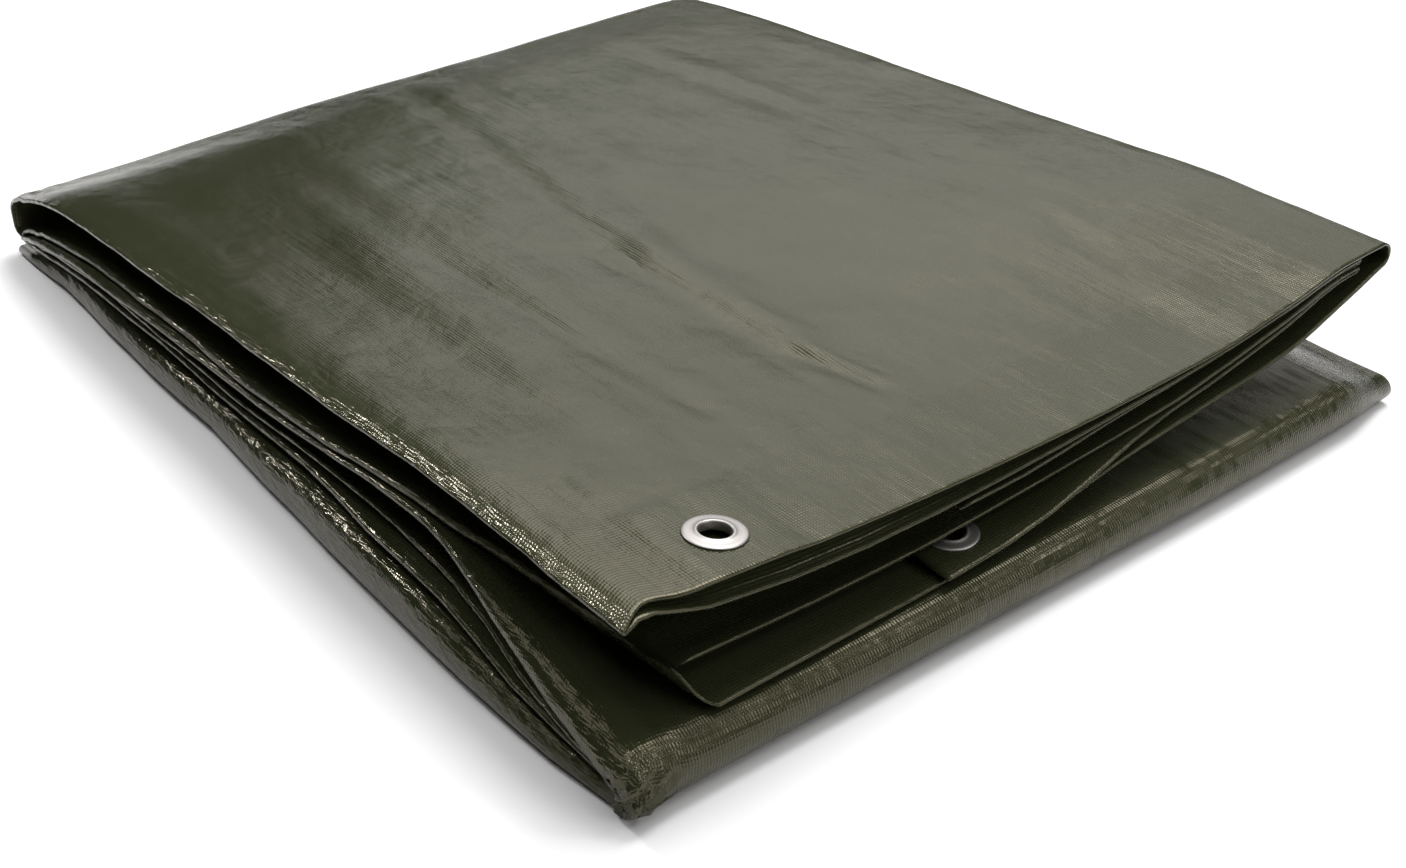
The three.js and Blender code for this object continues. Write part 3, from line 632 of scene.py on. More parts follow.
# Unevenness of a fold made by hand: size and length of each sine, and how fast its phase moves on.
WOBBLES = [
    {"size": 0.5, "length": 31, "phase": 1.0},
    {"size": 0.35, "length": 13.7, "phase": 2.3},
    {"size": 0.2, "length": 6.1, "phase": 1.0},
]
WOBBLE_SIZE = 0.8
WOBBLE_START = 60.0
FIRST_PHASE = {"upper": 0.4, "middle": 2.1, "bottom": 4.0}


def wobble(y, phase):
    """Sum of sines of unlike length, each shifted by its share of the phase."""
    return sum(row["size"] * np.sin(y / row["length"] + row["phase"] * phase) for row in WOBBLES)


def crease_offset(kind, part, y):
    """How far a crease stands in, from its table, with the unevenness eased in behind the front."""
    phase = FIRST_PHASE[part] + len(kind)
    uneven = WOBBLE_SIZE * wobble(y, phase) * ease(y / WOBBLE_START)
    if kind in RIGHT_OFFSET:
        return RIGHT_OFFSET[kind][part] + uneven
    return row_curve(LEFT_OFFSET[kind], "y", y, lambda row: row[part]) + uneven


def inner_share(place, shape):
    """Share of the width at which the inner creases lie."""

    def read(part, y):
        if part == "upper":
            return INNER_UPPER - INNER_DRIFT * ease(y / INNER_DRIFT_LENGTH)
        return np.full(y.shape, INNER_LOWER)

    return blended(place, np.full(shape, INNER_LOWER), read)


def crease_share(kind, place, shape):
    if kind == "inner":
        return inner_share(place, shape)
    return np.zeros(shape) if kind in LEFT_OFFSET else np.ones(shape)


print("creases:", list(CREASES))


# %% [markdown]
# The points of a crease are read at angles round it. The angle goes from nought at the ply where the
# crease starts to half a turn at the ply where it ends.

# %% Points of the creases
MOST_CREASE_REACH = 5.0
# Share of its reach that the low left crease keeps at the front, where it is pressed flat.
FLAT_FOLD = 0.3
FLAT_FOLD_LENGTH = 120.0
# How far the low left crease leans, the part of its turn that stays in place, and where the lean ends.
LEANS = {
    "upper": {"lean": 10.0, "pivot": 0.5, "length": 120.0},
    "middle": {"lean": 6.0, "pivot": 0.0, "length": 110.0},
    "bottom": {"lean": 0.0, "pivot": 0.0, "length": 110.0},
}


def crease_half(crease, place, u):
    """Half the height between the two plies that a crease joins, as a function of section and distance."""

    def read(part, y):
        return (ply_height(part, crease["to"], u, y) - ply_height(part, crease["from"], u, y)) / 2

    return read


def crease_lean(part, y, passed):
    """Lean times the part of the turn between the pivot and here, faded out behind the front."""
    row = LEANS[part]
    return row["lean"] * (row["pivot"] - passed) * (1 - ease(y / row["length"]))


def crease_x(crease, place, u, angle):
    """X of a crease at an angle round it: its side, its offset and its reach times sine less one."""
    reach = np.minimum(abs(blended(place, u, crease_half(crease, place, u))), MOST_CREASE_REACH)
    if crease["kind"] == "low" and place["part"] == "upper":
        reach = reach * mix(FLAT_FOLD, 1.0, ease(place["y"] / FLAT_FOLD_LENGTH))
    outwards = -1 if crease["kind"] in LEFT_OFFSET else 1
    x = side_x(u, place) + outwards * reach * (np.sin(angle) - 1)
    x = x + blended(place, u, lambda part, y: crease_offset(crease["kind"], part, y))
    if crease["kind"] == "low":
        x = x + blended(place, u, lambda part, y: crease_lean(part, y, angle / np.pi))
    return x


def crease_points(name, place, angle):
    """Points of a crease: its middle height less its half height times the cosine of the angle."""
    crease = CREASES[name]
    shape = np.broadcast_shapes(angle.shape, side_y(place).shape)
    u = crease_share(crease["kind"], place, shape)
    half = crease_half(crease, place, u)

    def read(part, y):
        middle = (ply_height(part, crease["to"], u, y) + ply_height(part, crease["from"], u, y)) / 2
        return middle - half(part, y) * np.cos(angle)

    y, z = bent(place, u, read)
    y = y + mix(edge_shift(crease["from"], u, place), edge_shift(crease["to"], u, place), angle / np.pi)
    return np.stack([crease_x(crease, place, u, np.broadcast_to(angle, shape)), y, z], -1)


print("a crease reaches at most", MOST_CREASE_REACH, "mm past the plies that it joins")


# %% [markdown]
# Between two creases a ply is a sheet over shares of the width. Near a crease its stations close up to the
# crease's own end, so that sheet and crease meet without a kink.

# %% Plies between their creases
PLIES = {
    UPPER_FLAP: {"left": None, "right": "right_of_upper"},
    UPPER_INNER: {"left": "high_left", "right": "right_of_upper"},
    TOP_PLY: {"left": "high_left", "right": "right_outer"},
    LOWER_OUTER: {"left": "low_left", "right": "right_outer"},
    LOWER_INNER: {"left": "low_left", "right": "right_of_lower"},
    LOWER_FLAP: {"left": None, "right": "right_of_lower"},
}
# Share of the width over which the offset of the low left crease still moves its plies.
OFFSET_REACH = 0.44


def crease_end_x(name, ply, place, u):
    crease = CREASES[name]
    angle = np.full(u.shape, 0.0 if crease["from"] == ply else np.pi)
    return crease_x(crease, place, u, angle)


def low_offset(ply, place, u):
    """Offset of the low left crease, eased out across the two plies that it joins."""
    if PLIES[ply]["left"] != "low_left":
        return 0.0
    low = blended(place, np.zeros(u.shape), lambda part, y: crease_offset("low", part, y))
    return (1 - ease(u / OFFSET_REACH)) * low


def ply_x(ply, place, u, last):
    """X of a ply: its share of the width, drawn to the ends of its creases near them."""
    ends = PLIES[ply]
    x = side_x(u, place) + low_offset(ply, place, u)
    if ends["left"] is not None:
        first = np.full(u.shape, FIRST_SHARE)
        at_first = side_x(first, place) + low_offset(ply, place, first)
        at_crease = crease_end_x(ends["left"], ply, place, np.zeros(u.shape))
        x = np.where(u < FIRST_SHARE, mix(at_crease, at_first, u / FIRST_SHARE), x)
    at_last = side_x(np.full(u.shape, LAST_SHARE), place)
    far = crease_end_x(ends["right"], ply, place, last)
    t = (u - LAST_SHARE) / (last - LAST_SHARE)
    return np.where(u > LAST_SHARE, mix(at_last, far, t), x)


def ply_points(ply, place, station):
    """Points of a ply: a station is a share of the width, and past the last share a part of the rest."""
    shape = np.broadcast_shapes(station.shape, side_y(place).shape)
    outer = PLIES[ply]["right"] == "right_outer"
    last = np.ones(shape) if outer else inner_share(place, shape)
    past = np.clip((station - LAST_SHARE) / (1 - LAST_SHARE), 0, 1)
    u = np.where(station > LAST_SHARE, mix(LAST_SHARE, last, past), np.broadcast_to(station, shape))
    y, z = bent(place, u, lambda part, at: ply_height(part, ply, u, at))
    return np.stack([ply_x(ply, place, u, last), y + edge_shift(ply, u, place), z], -1)


print("plies between creases:", len(PLIES))


# %% [markdown]
# The grid is denser where the picture looks closely: over the top ply, round the eyelets, in the creases
# and along the hem edges. Past that it stays coarse, which keeps the sheet under two hundred thousand
# triangles with both of its faces.

# %% Stations of the grid
def spaced(*knots, end):
    """Stations from knot to knot: each knot is a start and the number of even steps to the next one."""
    starts = [start for start, steps in knots] + [end]
    spans = [np.linspace(starts[k], starts[k + 1], knot[1], endpoint=False) for k, knot in enumerate(knots)]
    return np.concatenate([*spans, [end]])


def crease_angles(steps):
    """Angles inside a crease: its two ends belong to the plies."""
    return np.linspace(0, np.pi, steps + 1)[1:-1]


# Shares of the width where the steps change, which are finer at the eyelet of each ply.
TOP_STEPS = [(0.0, 12), (0.1, 11), (0.169, 32), (0.385, 11), (0.435, 32), (LAST_SHARE, 12)]
UPPER_FLAP_STEPS = [(UPPER_FLAP_END, 1), (0.393, 9), (0.451, 7), (LAST_SHARE, 4)]
LOWER_FLAP_STEPS = [(LOWER_FLAP_END, 2), (0.351, 9), (0.414, 7), (LAST_SHARE, 4)]
LOWER_OUTER_STEPS = [(0.0, 7), (0.045, 3), (FIRST_SHARE, 20), (LAST_SHARE, 9)]
ACROSS = [
    {"ply": UPPER_FLAP, "at": spaced(*UPPER_FLAP_STEPS, end=1.0)},
    {"crease": "right_of_upper", "at": crease_angles(6)},
    {"ply": UPPER_INNER, "at": spaced((0.0, 5), (FIRST_SHARE, 9), (LAST_SHARE, 4), end=1.0)[::-1]},
    {"crease": "high_left", "at": crease_angles(8)},
    {"ply": TOP_PLY, "at": spaced(*TOP_STEPS, end=1.0)},
    {"crease": "right_outer", "at": crease_angles(10)},
    {"ply": LOWER_OUTER, "at": spaced(*LOWER_OUTER_STEPS, end=1.0)[::-1]},
    {"crease": "low_left", "at": crease_angles(8)},
    {"ply": LOWER_INNER, "at": spaced((0.0, 4), (FIRST_SHARE, 9), (LAST_SHARE, 4), end=1.0)},
    {"crease": "right_of_lower", "at": crease_angles(6)},
    {"ply": LOWER_FLAP, "at": spaced(*LOWER_FLAP_STEPS, end=1.0)[::-1]},
]
# Distances from the front where the steps of the upper section change: hem edge, eyelets, end of the hem.
HEM_STEPS = [(0, 2), (3, 1), (3.7, 2), (9.5, 11), (37.5, 4), (49, 4), (57, 1)]
BEHIND_HEM_STEPS = [(62, 15), (125, 42), (500, 7)]
ALONG = [
    {"part": "upper", "y": spaced(*HEM_STEPS, *BEHIND_HEM_STEPS, end=BACK_TURN_Y)[:-1]},
    {"part": "back", "turn": np.linspace(0, 1, 15)},
    {"part": "middle", "y": spaced((BACK_TURN_Y, 5), (500, 20), (140, 10), end=12)[1:]},
    {"part": "nose", "turn": np.linspace(0, 1, 23)},
    {"part": "bottom", "y": spaced((12, 5), (140, 12), (500, 3), end=560)},
]
for place in ALONG:
    place["turn"] = None if "turn" not in place else place["turn"][None, :]
    place["y"] = None if "y" not in place else place["y"][None, :]
print("stations across:", sum(len(row["at"]) for row in ACROSS))


# %% [markdown]
# The left end of the rolled front is where all the plies are pressed down together, so it is crumpled. It
# could be sculpted or simulated. Here the same smooth push moves every point near that corner, so plies
# that lie together stay together. Two softer pushes crumple the left side behind it and the left end of the
# back turn.

# %% Crumple the left corners
CRUMPLES = [
    {"x": 2.0, "y": -6.0, "z": 8.0, "reach": 12.0, "push": 1.9, "wave": 6.0},
    {"x": 1.0, "y": 22.0, "z": 8.0, "reach": 16.0, "push": 0.8, "wave": 11.0},
    {"x": 32.0, "y": 545.0, "z": 26.0, "reach": 22.0, "push": 0.9, "wave": 14.0},
]
# The sine that pushes along each of X, Y and Z: how fast it turns in each direction, and its phase.
CRUMPLE_SINES = [
    {"turns": (0.0, 1.0, 0.6), "phase": 0.5},
    {"turns": (-0.5, 0.0, 0.8), "phase": 1.7},
    {"turns": (0.9, 0.7, 0.0), "phase": 2.9},
]


def crumpled(points):
    """Adds three crossing sine waves round each place, faded by exp of minus distance over reach squared."""
    moved = points.copy()
    for row in CRUMPLES:
        off = points - np.array([row["x"], row["y"], row["z"]])
        near = row["push"] * np.exp(-(off**2).sum(-1) / row["reach"] ** 2)
        turn = off * (2 * np.pi / row["wave"])
        for axis, sine in enumerate(CRUMPLE_SINES):
            moved[..., axis] += near * np.sin(turn @ np.array(sine["turns"]) + sine["phase"])
    moved[..., 2] = np.maximum(moved[..., 2], np.minimum(points[..., 2], SOLID_THICKNESS / 2))
    return moved


def sheet_grid():
    """Every ply and crease in turn across the strip, each through every place along it."""
    rows = []
    for row in ACROSS:
        at = row["at"][:, None]
        if "crease" in row:
            rows.append(np.concatenate([crease_points(row["crease"], place, at) for place in ALONG], axis=1))
        else:
            rows.append(np.concatenate([ply_points(row["ply"], place, at) for place in ALONG], axis=1))
    return crumpled(np.concatenate(rows, axis=0))


grid = sheet_grid()
print("sheet grid:", grid.shape, "lowest point", float(grid[..., 2].min()), "mm")


# %% [markdown]
# The mesh is the grid in metres, each cell a four-sided face. Cells under an eyelet's flange are left out,
# so the hole in the cloth is real. The sheet's own coordinates go with it as a UV map: the distance across
# the strip and the distance along it, so that weave and hems run true through every fold.

# %% Holes and lengths of the sheet
HOLE_REACH = 8.4


def eyelet_spot(eyelet, dx=0.0, dy=0.0):
    """The point of a ply at an offset from the eyelet's centre."""
    place = {"part": "upper", "turn": None, "y": np.array([[eyelet["y"] + dy]])}
    return ply_points(eyelet["ply"], place, np.array([[(eyelet["x"] + dx) / FRONT_WIDTH]]))[0, 0]


def open_cells(points):
    """Marks the cells that lie within the hole reach of an eyelet, on the eyelet's own ply."""
    ply = np.concatenate([np.full(len(row["at"]), row.get("ply", 0)) for row in ACROSS])
    centres = (points[:-1, :-1] + points[1:, :-1] + points[1:, 1:] + points[:-1, 1:]) / 4
    upper = np.arange(points.shape[1] - 1) < ALONG[0]["y"].size
    marked = np.zeros(centres.shape[:2], bool)
    for eyelet in EYELETS.values():
        rows = (ply[:-1] == eyelet["ply"]) & (ply[1:] == eyelet["ply"])
        far = np.linalg.norm(centres - eyelet_spot(eyelet), axis=2)
        marked |= (far < HOLE_REACH) & rows[:, None] & upper[None, :]
    return marked


def sheet_lengths(points):
    """Distance across the strip for each row, and distance along it for each point."""
    across = np.linalg.norm(np.diff(points, axis=0), axis=2)
    along = np.linalg.norm(np.diff(points, axis=1), axis=2)
    s = np.concatenate([[0.0], np.cumsum(np.median(across, axis=1))])
    v = np.concatenate([np.zeros((len(points), 1)), np.cumsum(along, axis=1)], axis=1)
    return np.broadcast_to(s[:, None], v.shape), v


across_mm, along_mm = sheet_lengths(grid)
cut_width, cut_length = float(across_mm[:, 0].max()), float(np.median(along_mm[:, -1]))
print("cut size of the sheet:", round(cut_width), "by", round(cut_length), "mm")


# %% [markdown]
# Blender's meshes can be filled face by face, but whole arrays are far quicker. Only the grid points that a
# kept cell uses become vertices, and each corner of a face takes the UV of its point.

# %% Sheet with its own coordinates
def mesh_from_grid(name, points, keep, uv):
    """A mesh with one vertex a grid point and one face a kept cell, and the uv pairs as its UV map."""
    rows, columns = points.shape[:2]
    index = np.arange(rows * columns).reshape(rows, columns)
    corners = np.stack([index[:-1, :-1], index[:-1, 1:], index[1:, 1:], index[1:, :-1]], -1)[keep]
    used, corners = np.unique(corners, return_inverse=True)
    corners = corners.reshape(-1, 4)
    mesh = bpy.data.meshes.new(name)
    mesh.vertices.add(len(used))
    mesh.vertices.foreach_set("co", points.reshape(-1, 3)[used].ravel())
    mesh.loops.add(corners.size)
    mesh.loops.foreach_set("vertex_index", corners.ravel())
    mesh.polygons.add(len(corners))
    mesh.polygons.foreach_set("loop_start", np.arange(0, corners.size, 4))
    mesh.polygons.foreach_set("loop_total", np.full(len(corners), 4))
    layer = mesh.uv_layers.new(name="cloth")
    layer.data.foreach_set("uv", uv.reshape(-1, 2)[used][corners].ravel())
    mesh.polygons.foreach_set("use_smooth", np.ones(len(corners), bool))
    mesh.update(calc_edges=True)
    mesh.validate()
    piece = bpy.data.objects.new(name, mesh)
    bpy.context.scene.collection.objects.link(piece)
    return piece, used


points = (grid - FRAME_SHIFT) / 1000
uv = np.stack([across_mm, along_mm], -1) / 1000
tarp, used = mesh_from_grid("tarp", points, ~open_cells(grid), uv)
print("tarp:", len(tarp.data.polygons), "cells")

# %% [markdown]
# The real cloth is a few tenths of a millimetre thick. It is drawn thicker, so that its edges show at this
# distance, and a hem, which is two layers welded together, is drawn thicker still. Solidify gives the sheet
# its second face and its rims. A vertex group named hem carries the share of the full thickness, in eight
# steps over the line where the hem ends.

# %% Thickness of the cloth
CLOTH = 0.0008
HEM_CLOTH = 0.00115
HEM_FADE = 5.0
HEM_WEIGHTS = 8
hem = tarp.vertex_groups.new(name="hem")
v_used = along_mm.ravel()[used]
s_used = across_mm.ravel()[used]
from_edge = np.minimum(np.minimum(v_used, cut_length - v_used), np.minimum(s_used, cut_width - s_used))
hem_weight = 1 - ease((from_edge - HEM_WIDTH + HEM_FADE / 2) / HEM_FADE)
for step in range(1, HEM_WEIGHTS + 1):
    in_step = np.round(hem_weight * HEM_WEIGHTS) == step
    hem.add(np.flatnonzero(in_step).tolist(), step / HEM_WEIGHTS, "REPLACE")
thick = tarp.modifiers.new("cloth thickness", "SOLIDIFY")
thick.thickness = HEM_CLOTH
thick.offset = 0.0
thick.vertex_group = "hem"
thick.thickness_vertex_group = CLOTH / HEM_CLOTH
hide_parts("tarp_sheet", "hem_top", "hem_corner", "hem_inner")
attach(tarp, "root")
print("cloth", CLOTH * 1000, "mm, hems", HEM_CLOTH * 1000, "mm")

# %% [markdown]
# An eyelet is stamped from thin aluminium: a flat flange on the hem, a lip rolled over into the hole and a
# barrel that is clenched over a plain washer below. It could be spun with a Screw modifier. Here its profile
# is turned round the hole's axis as one array, which puts it straight on the slope of its ply.

# %% Profiles of the eyelet and the washer
EYELET_PROFILE = [
    {"r": 6.9, "z": -1.9},
    {"r": 6.45, "z": -1.9},
    {"r": 6.05, "z": -1.4},
    {"r": 5.95, "z": 0.0},
    {"r": 6.0, "z": 1.3},
    {"r": 6.2, "z": 1.85},
    {"r": 6.6, "z": 2.15},
    {"r": 7.05, "z": 2.15},
    {"r": 7.5, "z": 1.9},
    {"r": 8.1, "z": 1.68},
    {"r": 9.6, "z": 1.6},
    {"r": 11.0, "z": 1.5},
    {"r": 11.7, "z": 1.3},
    {"r": 12.0, "z": 0.95},
    {"r": 11.9, "z": 0.7},
    {"r": 11.0, "z": 0.75},
    {"r": 8.2, "z": 0.75},
    {"r": 7.2, "z": 0.75},
    {"r": 6.9, "z": 0.4},
    {"r": 6.9, "z": -0.8},
]
WASHER_PROFILE = [
    {"r": 7.2, "z": -0.85},
    {"r": 11.2, "z": -0.85},
    {"r": 11.5, "z": -1.0},
    {"r": 11.5, "z": -1.4},
    {"r": 11.2, "z": -1.55},
    {"r": 7.2, "z": -1.55},
]
print("eyelet", 2 * max(row["r"] for row in EYELET_PROFILE), "mm across")


# %% [markdown]
# The axis of an eyelet is square to its ply, so two directions on the ply are measured round its centre.
# The profile is closed, and the last ring joins the first, so the piece has no seam and no open edge.

# %% Eyelets and washers
TURN_STEPS = 72
SPOT_REACH = 8.0


def turned_piece(name, profile, centre, across, along):
    """Closed profile swept round an axis: radius times cosine and sine of the turn, height on the axis."""
    normal = np.cross(across, along)
    normal /= np.linalg.norm(normal)
    across = across / np.linalg.norm(across)
    along = np.cross(normal, across)
    turn = np.linspace(0, 2 * np.pi, TURN_STEPS, endpoint=False)[:, None]
    r = np.array([row["r"] for row in profile])[None, :]
    z = np.array([row["z"] for row in profile])[None, :]
    spokes = np.cos(turn)[..., None] * across + np.sin(turn)[..., None] * along
    ring = centre + r[..., None] * spokes + z[..., None] * normal
    ring = (ring - FRAME_SHIFT) / 1000
    index = np.arange(TURN_STEPS * len(profile)).reshape(TURN_STEPS, len(profile))
    after, beside = np.roll(index, -1, axis=0), np.roll(index, -1, axis=1)
    both = np.roll(after, -1, axis=1)
    faces = np.stack([index, after, both, beside], -1).reshape(-1, 4)
    mesh = bpy.data.meshes.new(name)
    mesh.from_pydata(ring.reshape(-1, 3).tolist(), [], faces.tolist())
    mesh.polygons.foreach_set("use_smooth", np.ones(len(faces), bool))
    mesh.update()
    piece = bpy.data.objects.new(name, mesh)
    bpy.context.scene.collection.objects.link(piece)
    return piece


eyelet_pieces = []
for name, eyelet in EYELETS.items():
    centre = eyelet_spot(eyelet)
    across = eyelet_spot(eyelet, SPOT_REACH, 0) - eyelet_spot(eyelet, -SPOT_REACH, 0)
    along = eyelet_spot(eyelet, 0, SPOT_REACH) - eyelet_spot(eyelet, 0, -SPOT_REACH)
    for kind, profile in (("eyelet", EYELET_PROFILE), ("washer", WASHER_PROFILE)):
        piece = turned_piece(f"{name}_{kind}", profile, centre, across, along)
        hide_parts(f"{kind}_{name}")
        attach(piece, "root")
        eyelet_pieces.append(piece)
print("eyelet pieces:", [piece.name for piece in eyelet_pieces])


# %% [markdown]
# A finish is a small tree of shader nodes. One helper adds a node of any kind, and a node that is given as
# an input stands for its first output. Colours are picked as sRGB hex values and turned to linear light,
# which is what a shader reckons in.

# %% Node and colour helpers
def linear(hex_colour):
    """An sRGB hex colour as linear red, green, blue and alpha."""
    parts = [int(hex_colour[i : i + 2], 16) / 255 for i in (1, 3, 5)]
    return [c / 12.92 if c <= 0.04045 else ((c + 0.055) / 1.055) ** 2.4 for c in parts] + [1.0]


def add_node(tree, kind, inputs=None, **settings):
    """Adds a node, sets its properties, and fills inputs from constants, from outputs or from nodes."""
    node = tree.nodes.new(kind)
    for key, value in settings.items():
        setattr(node, key, value)
    for key, value in (inputs or {}).items():
        value = value.outputs[0] if isinstance(value, bpy.types.Node) else value
        if isinstance(value, bpy.types.NodeSocket):
            tree.links.new(value, node.inputs[key])
        else:
            node.inputs[key].default_value = value
    return node


def new_material(name):
    material = bpy.data.materials.new(name)
    material.use_nodes = True
    material.node_tree.nodes.clear()
    return material, material.node_tree


print("olive in linear light:", [round(part, 4) for part in linear("#2C2F1E")])


# %% [markdown]
# The cloth is woven from flat tapes and coated on both sides, so it is smooth plastic over fine ribs. The
# ribs run along the strip, 1.35 mm apart, with a weaker rhythm of 1.5 mm across them that shows more in the
# hem. A height picture could be wrapped on the sheet, but one that is worked out from the sheet's own
# coordinates stays sharp and follows every fold. Noise at several sizes makes the ribs sway and fade and
# the coating uneven. Its scale is in features a metre, and a stretch draws it out along the strip.

# %% Ribs and coating of the cloth
RIB_PITCH = 0.00135
CROSS_PITCH = 0.0015
# Heights are in millimetres. A rib is higher where the cloth is rolled round the front.
RIB_HEIGHT = 0.045
RIB_HEIGHT_ROLLED = 0.12
CROSS_HEIGHT = 0.018
CROSS_HEIGHT_HEM = 0.012
# How far a rib sways, in metres, over about 17 mm.
SWAY = {"scale": 60.0, "detail": 2.0, "stretch": 1.0, "creased": False, "range": 0.0012}
# How its height varies, over patches of 29 mm and threads of 4 mm: a start, and a range above it.
PATCHES = {"scale": 35.0, "detail": 2.0, "stretch": 1.0, "creased": False, "range": 1.6}
THREADS = {"scale": 240.0, "detail": 1.0, "stretch": 25.0, "creased": False, "range": 2.2}
VARIED_START = -0.3
LEAST_THREAD = 0.3
# Unevenness of the coating: 1.2 mm grain, 2 mm tapes, 14 mm and 38 mm creases and 45 mm hollows.
COATING_ROWS = [
    {"scale": 800.0, "detail": 1.0, "stretch": 1.0, "creased": False, "height": 0.07},
    {"scale": 520.0, "detail": 1.0, "stretch": 18.0, "creased": False, "height": 0.12},
    {"scale": 70.0, "detail": 2.0, "stretch": 1.0, "creased": True, "height": 0.5},
    {"scale": 26.0, "detail": 2.0, "stretch": 2.0, "creased": True, "height": 1.4},
    {"scale": 22.0, "detail": 2.0, "stretch": 1.6, "creased": False, "height": 1.6},
]


def uneven(tree, place, row):
    """Noise drawn out by its stretch; a creased one is its distance from a half, sharp at the bottom."""
    stretched = {"Vector": place, "Scale": (1.0, 1.0 / row["stretch"], 1.0)}
    drawn = add_node(tree, "ShaderNodeMapping", stretched)
    grain = {"Vector": drawn, "Scale": row["scale"], "Detail": row["detail"]}
    noise = add_node(tree, "ShaderNodeTexNoise", grain)
    if not row["creased"]:
        return noise
    off_middle = add_node(tree, "ShaderNodeMath", {0: noise, 1: 0.5}, operation="SUBTRACT")
    return add_node(tree, "ShaderNodeMath", {0: off_middle}, operation="ABSOLUTE")


def summed(tree, parts, start):
    """Adds each part times its height to the start."""
    for part, height in parts:
        start = add_node(tree, "ShaderNodeMath", {0: part, 1: height, 2: start}, operation="MULTIPLY_ADD")
    return start


def ranged(tree, place, row, start):
    """The noise of a row times its range, plus a start."""
    return summed(tree, [(uneven(tree, place, row), row["range"])], start)


def rib_relief(tree, cloth, across, rolled):
    """Sine of the swayed distance across over the pitch, times the patches, the threads and the height."""
    swayed = ranged(tree, cloth, SWAY, across)
    turn = add_node(tree, "ShaderNodeMath", {0: swayed, 1: 2 * np.pi / RIB_PITCH}, operation="MULTIPLY")
    ribs = add_node(tree, "ShaderNodeMath", {0: turn}, operation="SINE")
    threads = ranged(tree, cloth, THREADS, VARIED_START)
    kept = add_node(tree, "ShaderNodeMath", {0: threads, 1: LEAST_THREAD}, operation="MAXIMUM")
    patches = ranged(tree, cloth, PATCHES, VARIED_START)
    height = summed(tree, [(rolled, RIB_HEIGHT_ROLLED)], RIB_HEIGHT)
    for part in (kept, patches, height):
        ribs = add_node(tree, "ShaderNodeMath", {0: ribs, 1: part}, operation="MULTIPLY")
    return ribs


def cross_relief(tree, along):
    """Sine of the distance along over the pitch, times a height that is greater in the front hem."""
    turn = add_node(tree, "ShaderNodeMath", {0: along, 1: 2 * np.pi / CROSS_PITCH}, operation="MULTIPLY")
    cross = add_node(tree, "ShaderNodeMath", {0: turn}, operation="SINE")
    in_hem = add_node(tree, "ShaderNodeMath", {0: along, 1: HEM_WIDTH / 1000}, operation="LESS_THAN")
    height = summed(tree, [(in_hem, CROSS_HEIGHT_HEM)], CROSS_HEIGHT)
    return add_node(tree, "ShaderNodeMath", {0: cross, 1: height}, operation="MULTIPLY")


print("rib pitch", RIB_PITCH * 1000, "mm, cross pitch", CROSS_PITCH * 1000, "mm")


# %% [markdown]
# Where the laminate is bent sharply it crinkles: small sharp facets catch the light along the left creases,
# and more so where the strip is rolled round the front. They could be modelled, but they are finer than a
# millimetre deep, so they are part of the height. They follow the object's own directions and not the
# sheet's, because the sheet's coordinates bunch up in a crease.

# %% Crinkles along the left creases
# Crinkles of 5 mm and of 2 mm.
CRINKLE_ROWS = [
    {"scale": 190.0, "detail": 2.0, "stretch": 5.0, "creased": True, "height": 1.2},
    {"scale": 520.0, "detail": 1.0, "stretch": 5.0, "creased": True, "height": 0.8},
]
# Distances in metres over which crinkles fade from a crease and the roll fades from the front.
LOW_CRINKLE_REACH = 0.012
HIGH_CRINKLE_REACH = 0.0075
ROLL_REACH = 0.05
ROLL_CRINKLE = 0.6
nose_start = sum(place["y"].size if place["turn"] is None else place["turn"].size for place in ALONG[:3])
ROLL_PLACE = float(np.median(along_mm[:, nose_start + ALONG[3]["turn"].size // 2])) / 1000


def crease_place(name):
    """Distance across the strip to the middle of a crease, in metres."""
    starts = np.cumsum([0] + [len(row["at"]) for row in ACROSS])
    at = next(k for k, row in enumerate(ACROSS) if row.get("crease") == name)
    return float(across_mm[(starts[at] + starts[at + 1]) // 2, 0]) / 1000


def closeness(tree, distance, middle, reach):
    """One at a place on the sheet, falling evenly to nought at the reach."""
    off = add_node(tree, "ShaderNodeMath", {0: distance, 1: middle}, operation="SUBTRACT")
    away = add_node(tree, "ShaderNodeMath", {0: off}, operation="ABSOLUTE")
    falling = {0: away, 1: -1.0 / reach, 2: 1.0}
    return add_node(tree, "ShaderNodeMath", falling, operation="MULTIPLY_ADD", use_clamp=True)


def crinkle_relief(tree, creased, rolled):
    """Creased noise in the object's coordinates, times the closeness to a crease and the part of the roll."""
    place = add_node(tree, "ShaderNodeTexCoord").outputs["Object"]
    crinkle = summed(tree, [(uneven(tree, place, row), row["height"]) for row in CRINKLE_ROWS], 0.0)
    knotted = summed(tree, [(rolled, ROLL_CRINKLE)], 1.0)
    kept = add_node(tree, "ShaderNodeMath", {0: crinkle, 1: creased}, operation="MULTIPLY")
    return add_node(tree, "ShaderNodeMath", {0: kept, 1: knotted}, operation="MULTIPLY")


print("roll", round(ROLL_PLACE, 3), "m along, high crease", round(crease_place("high_left"), 3), "m across")


# %% [markdown]
# The coating is dark olive polyethylene with a soft gloss. Where it is creased it is pressed smooth, so it
# is shinier there. A faint warm tint of the reflection stands for the pigment that lies just under it.
# The washers and eyelets are stamped aluminium, brushed by use to a satin.

# %% Materials
CLOTH_ROUGHNESS = 0.24
CREASE_POLISH = 0.1
RELIEF_UNIT = 0.001


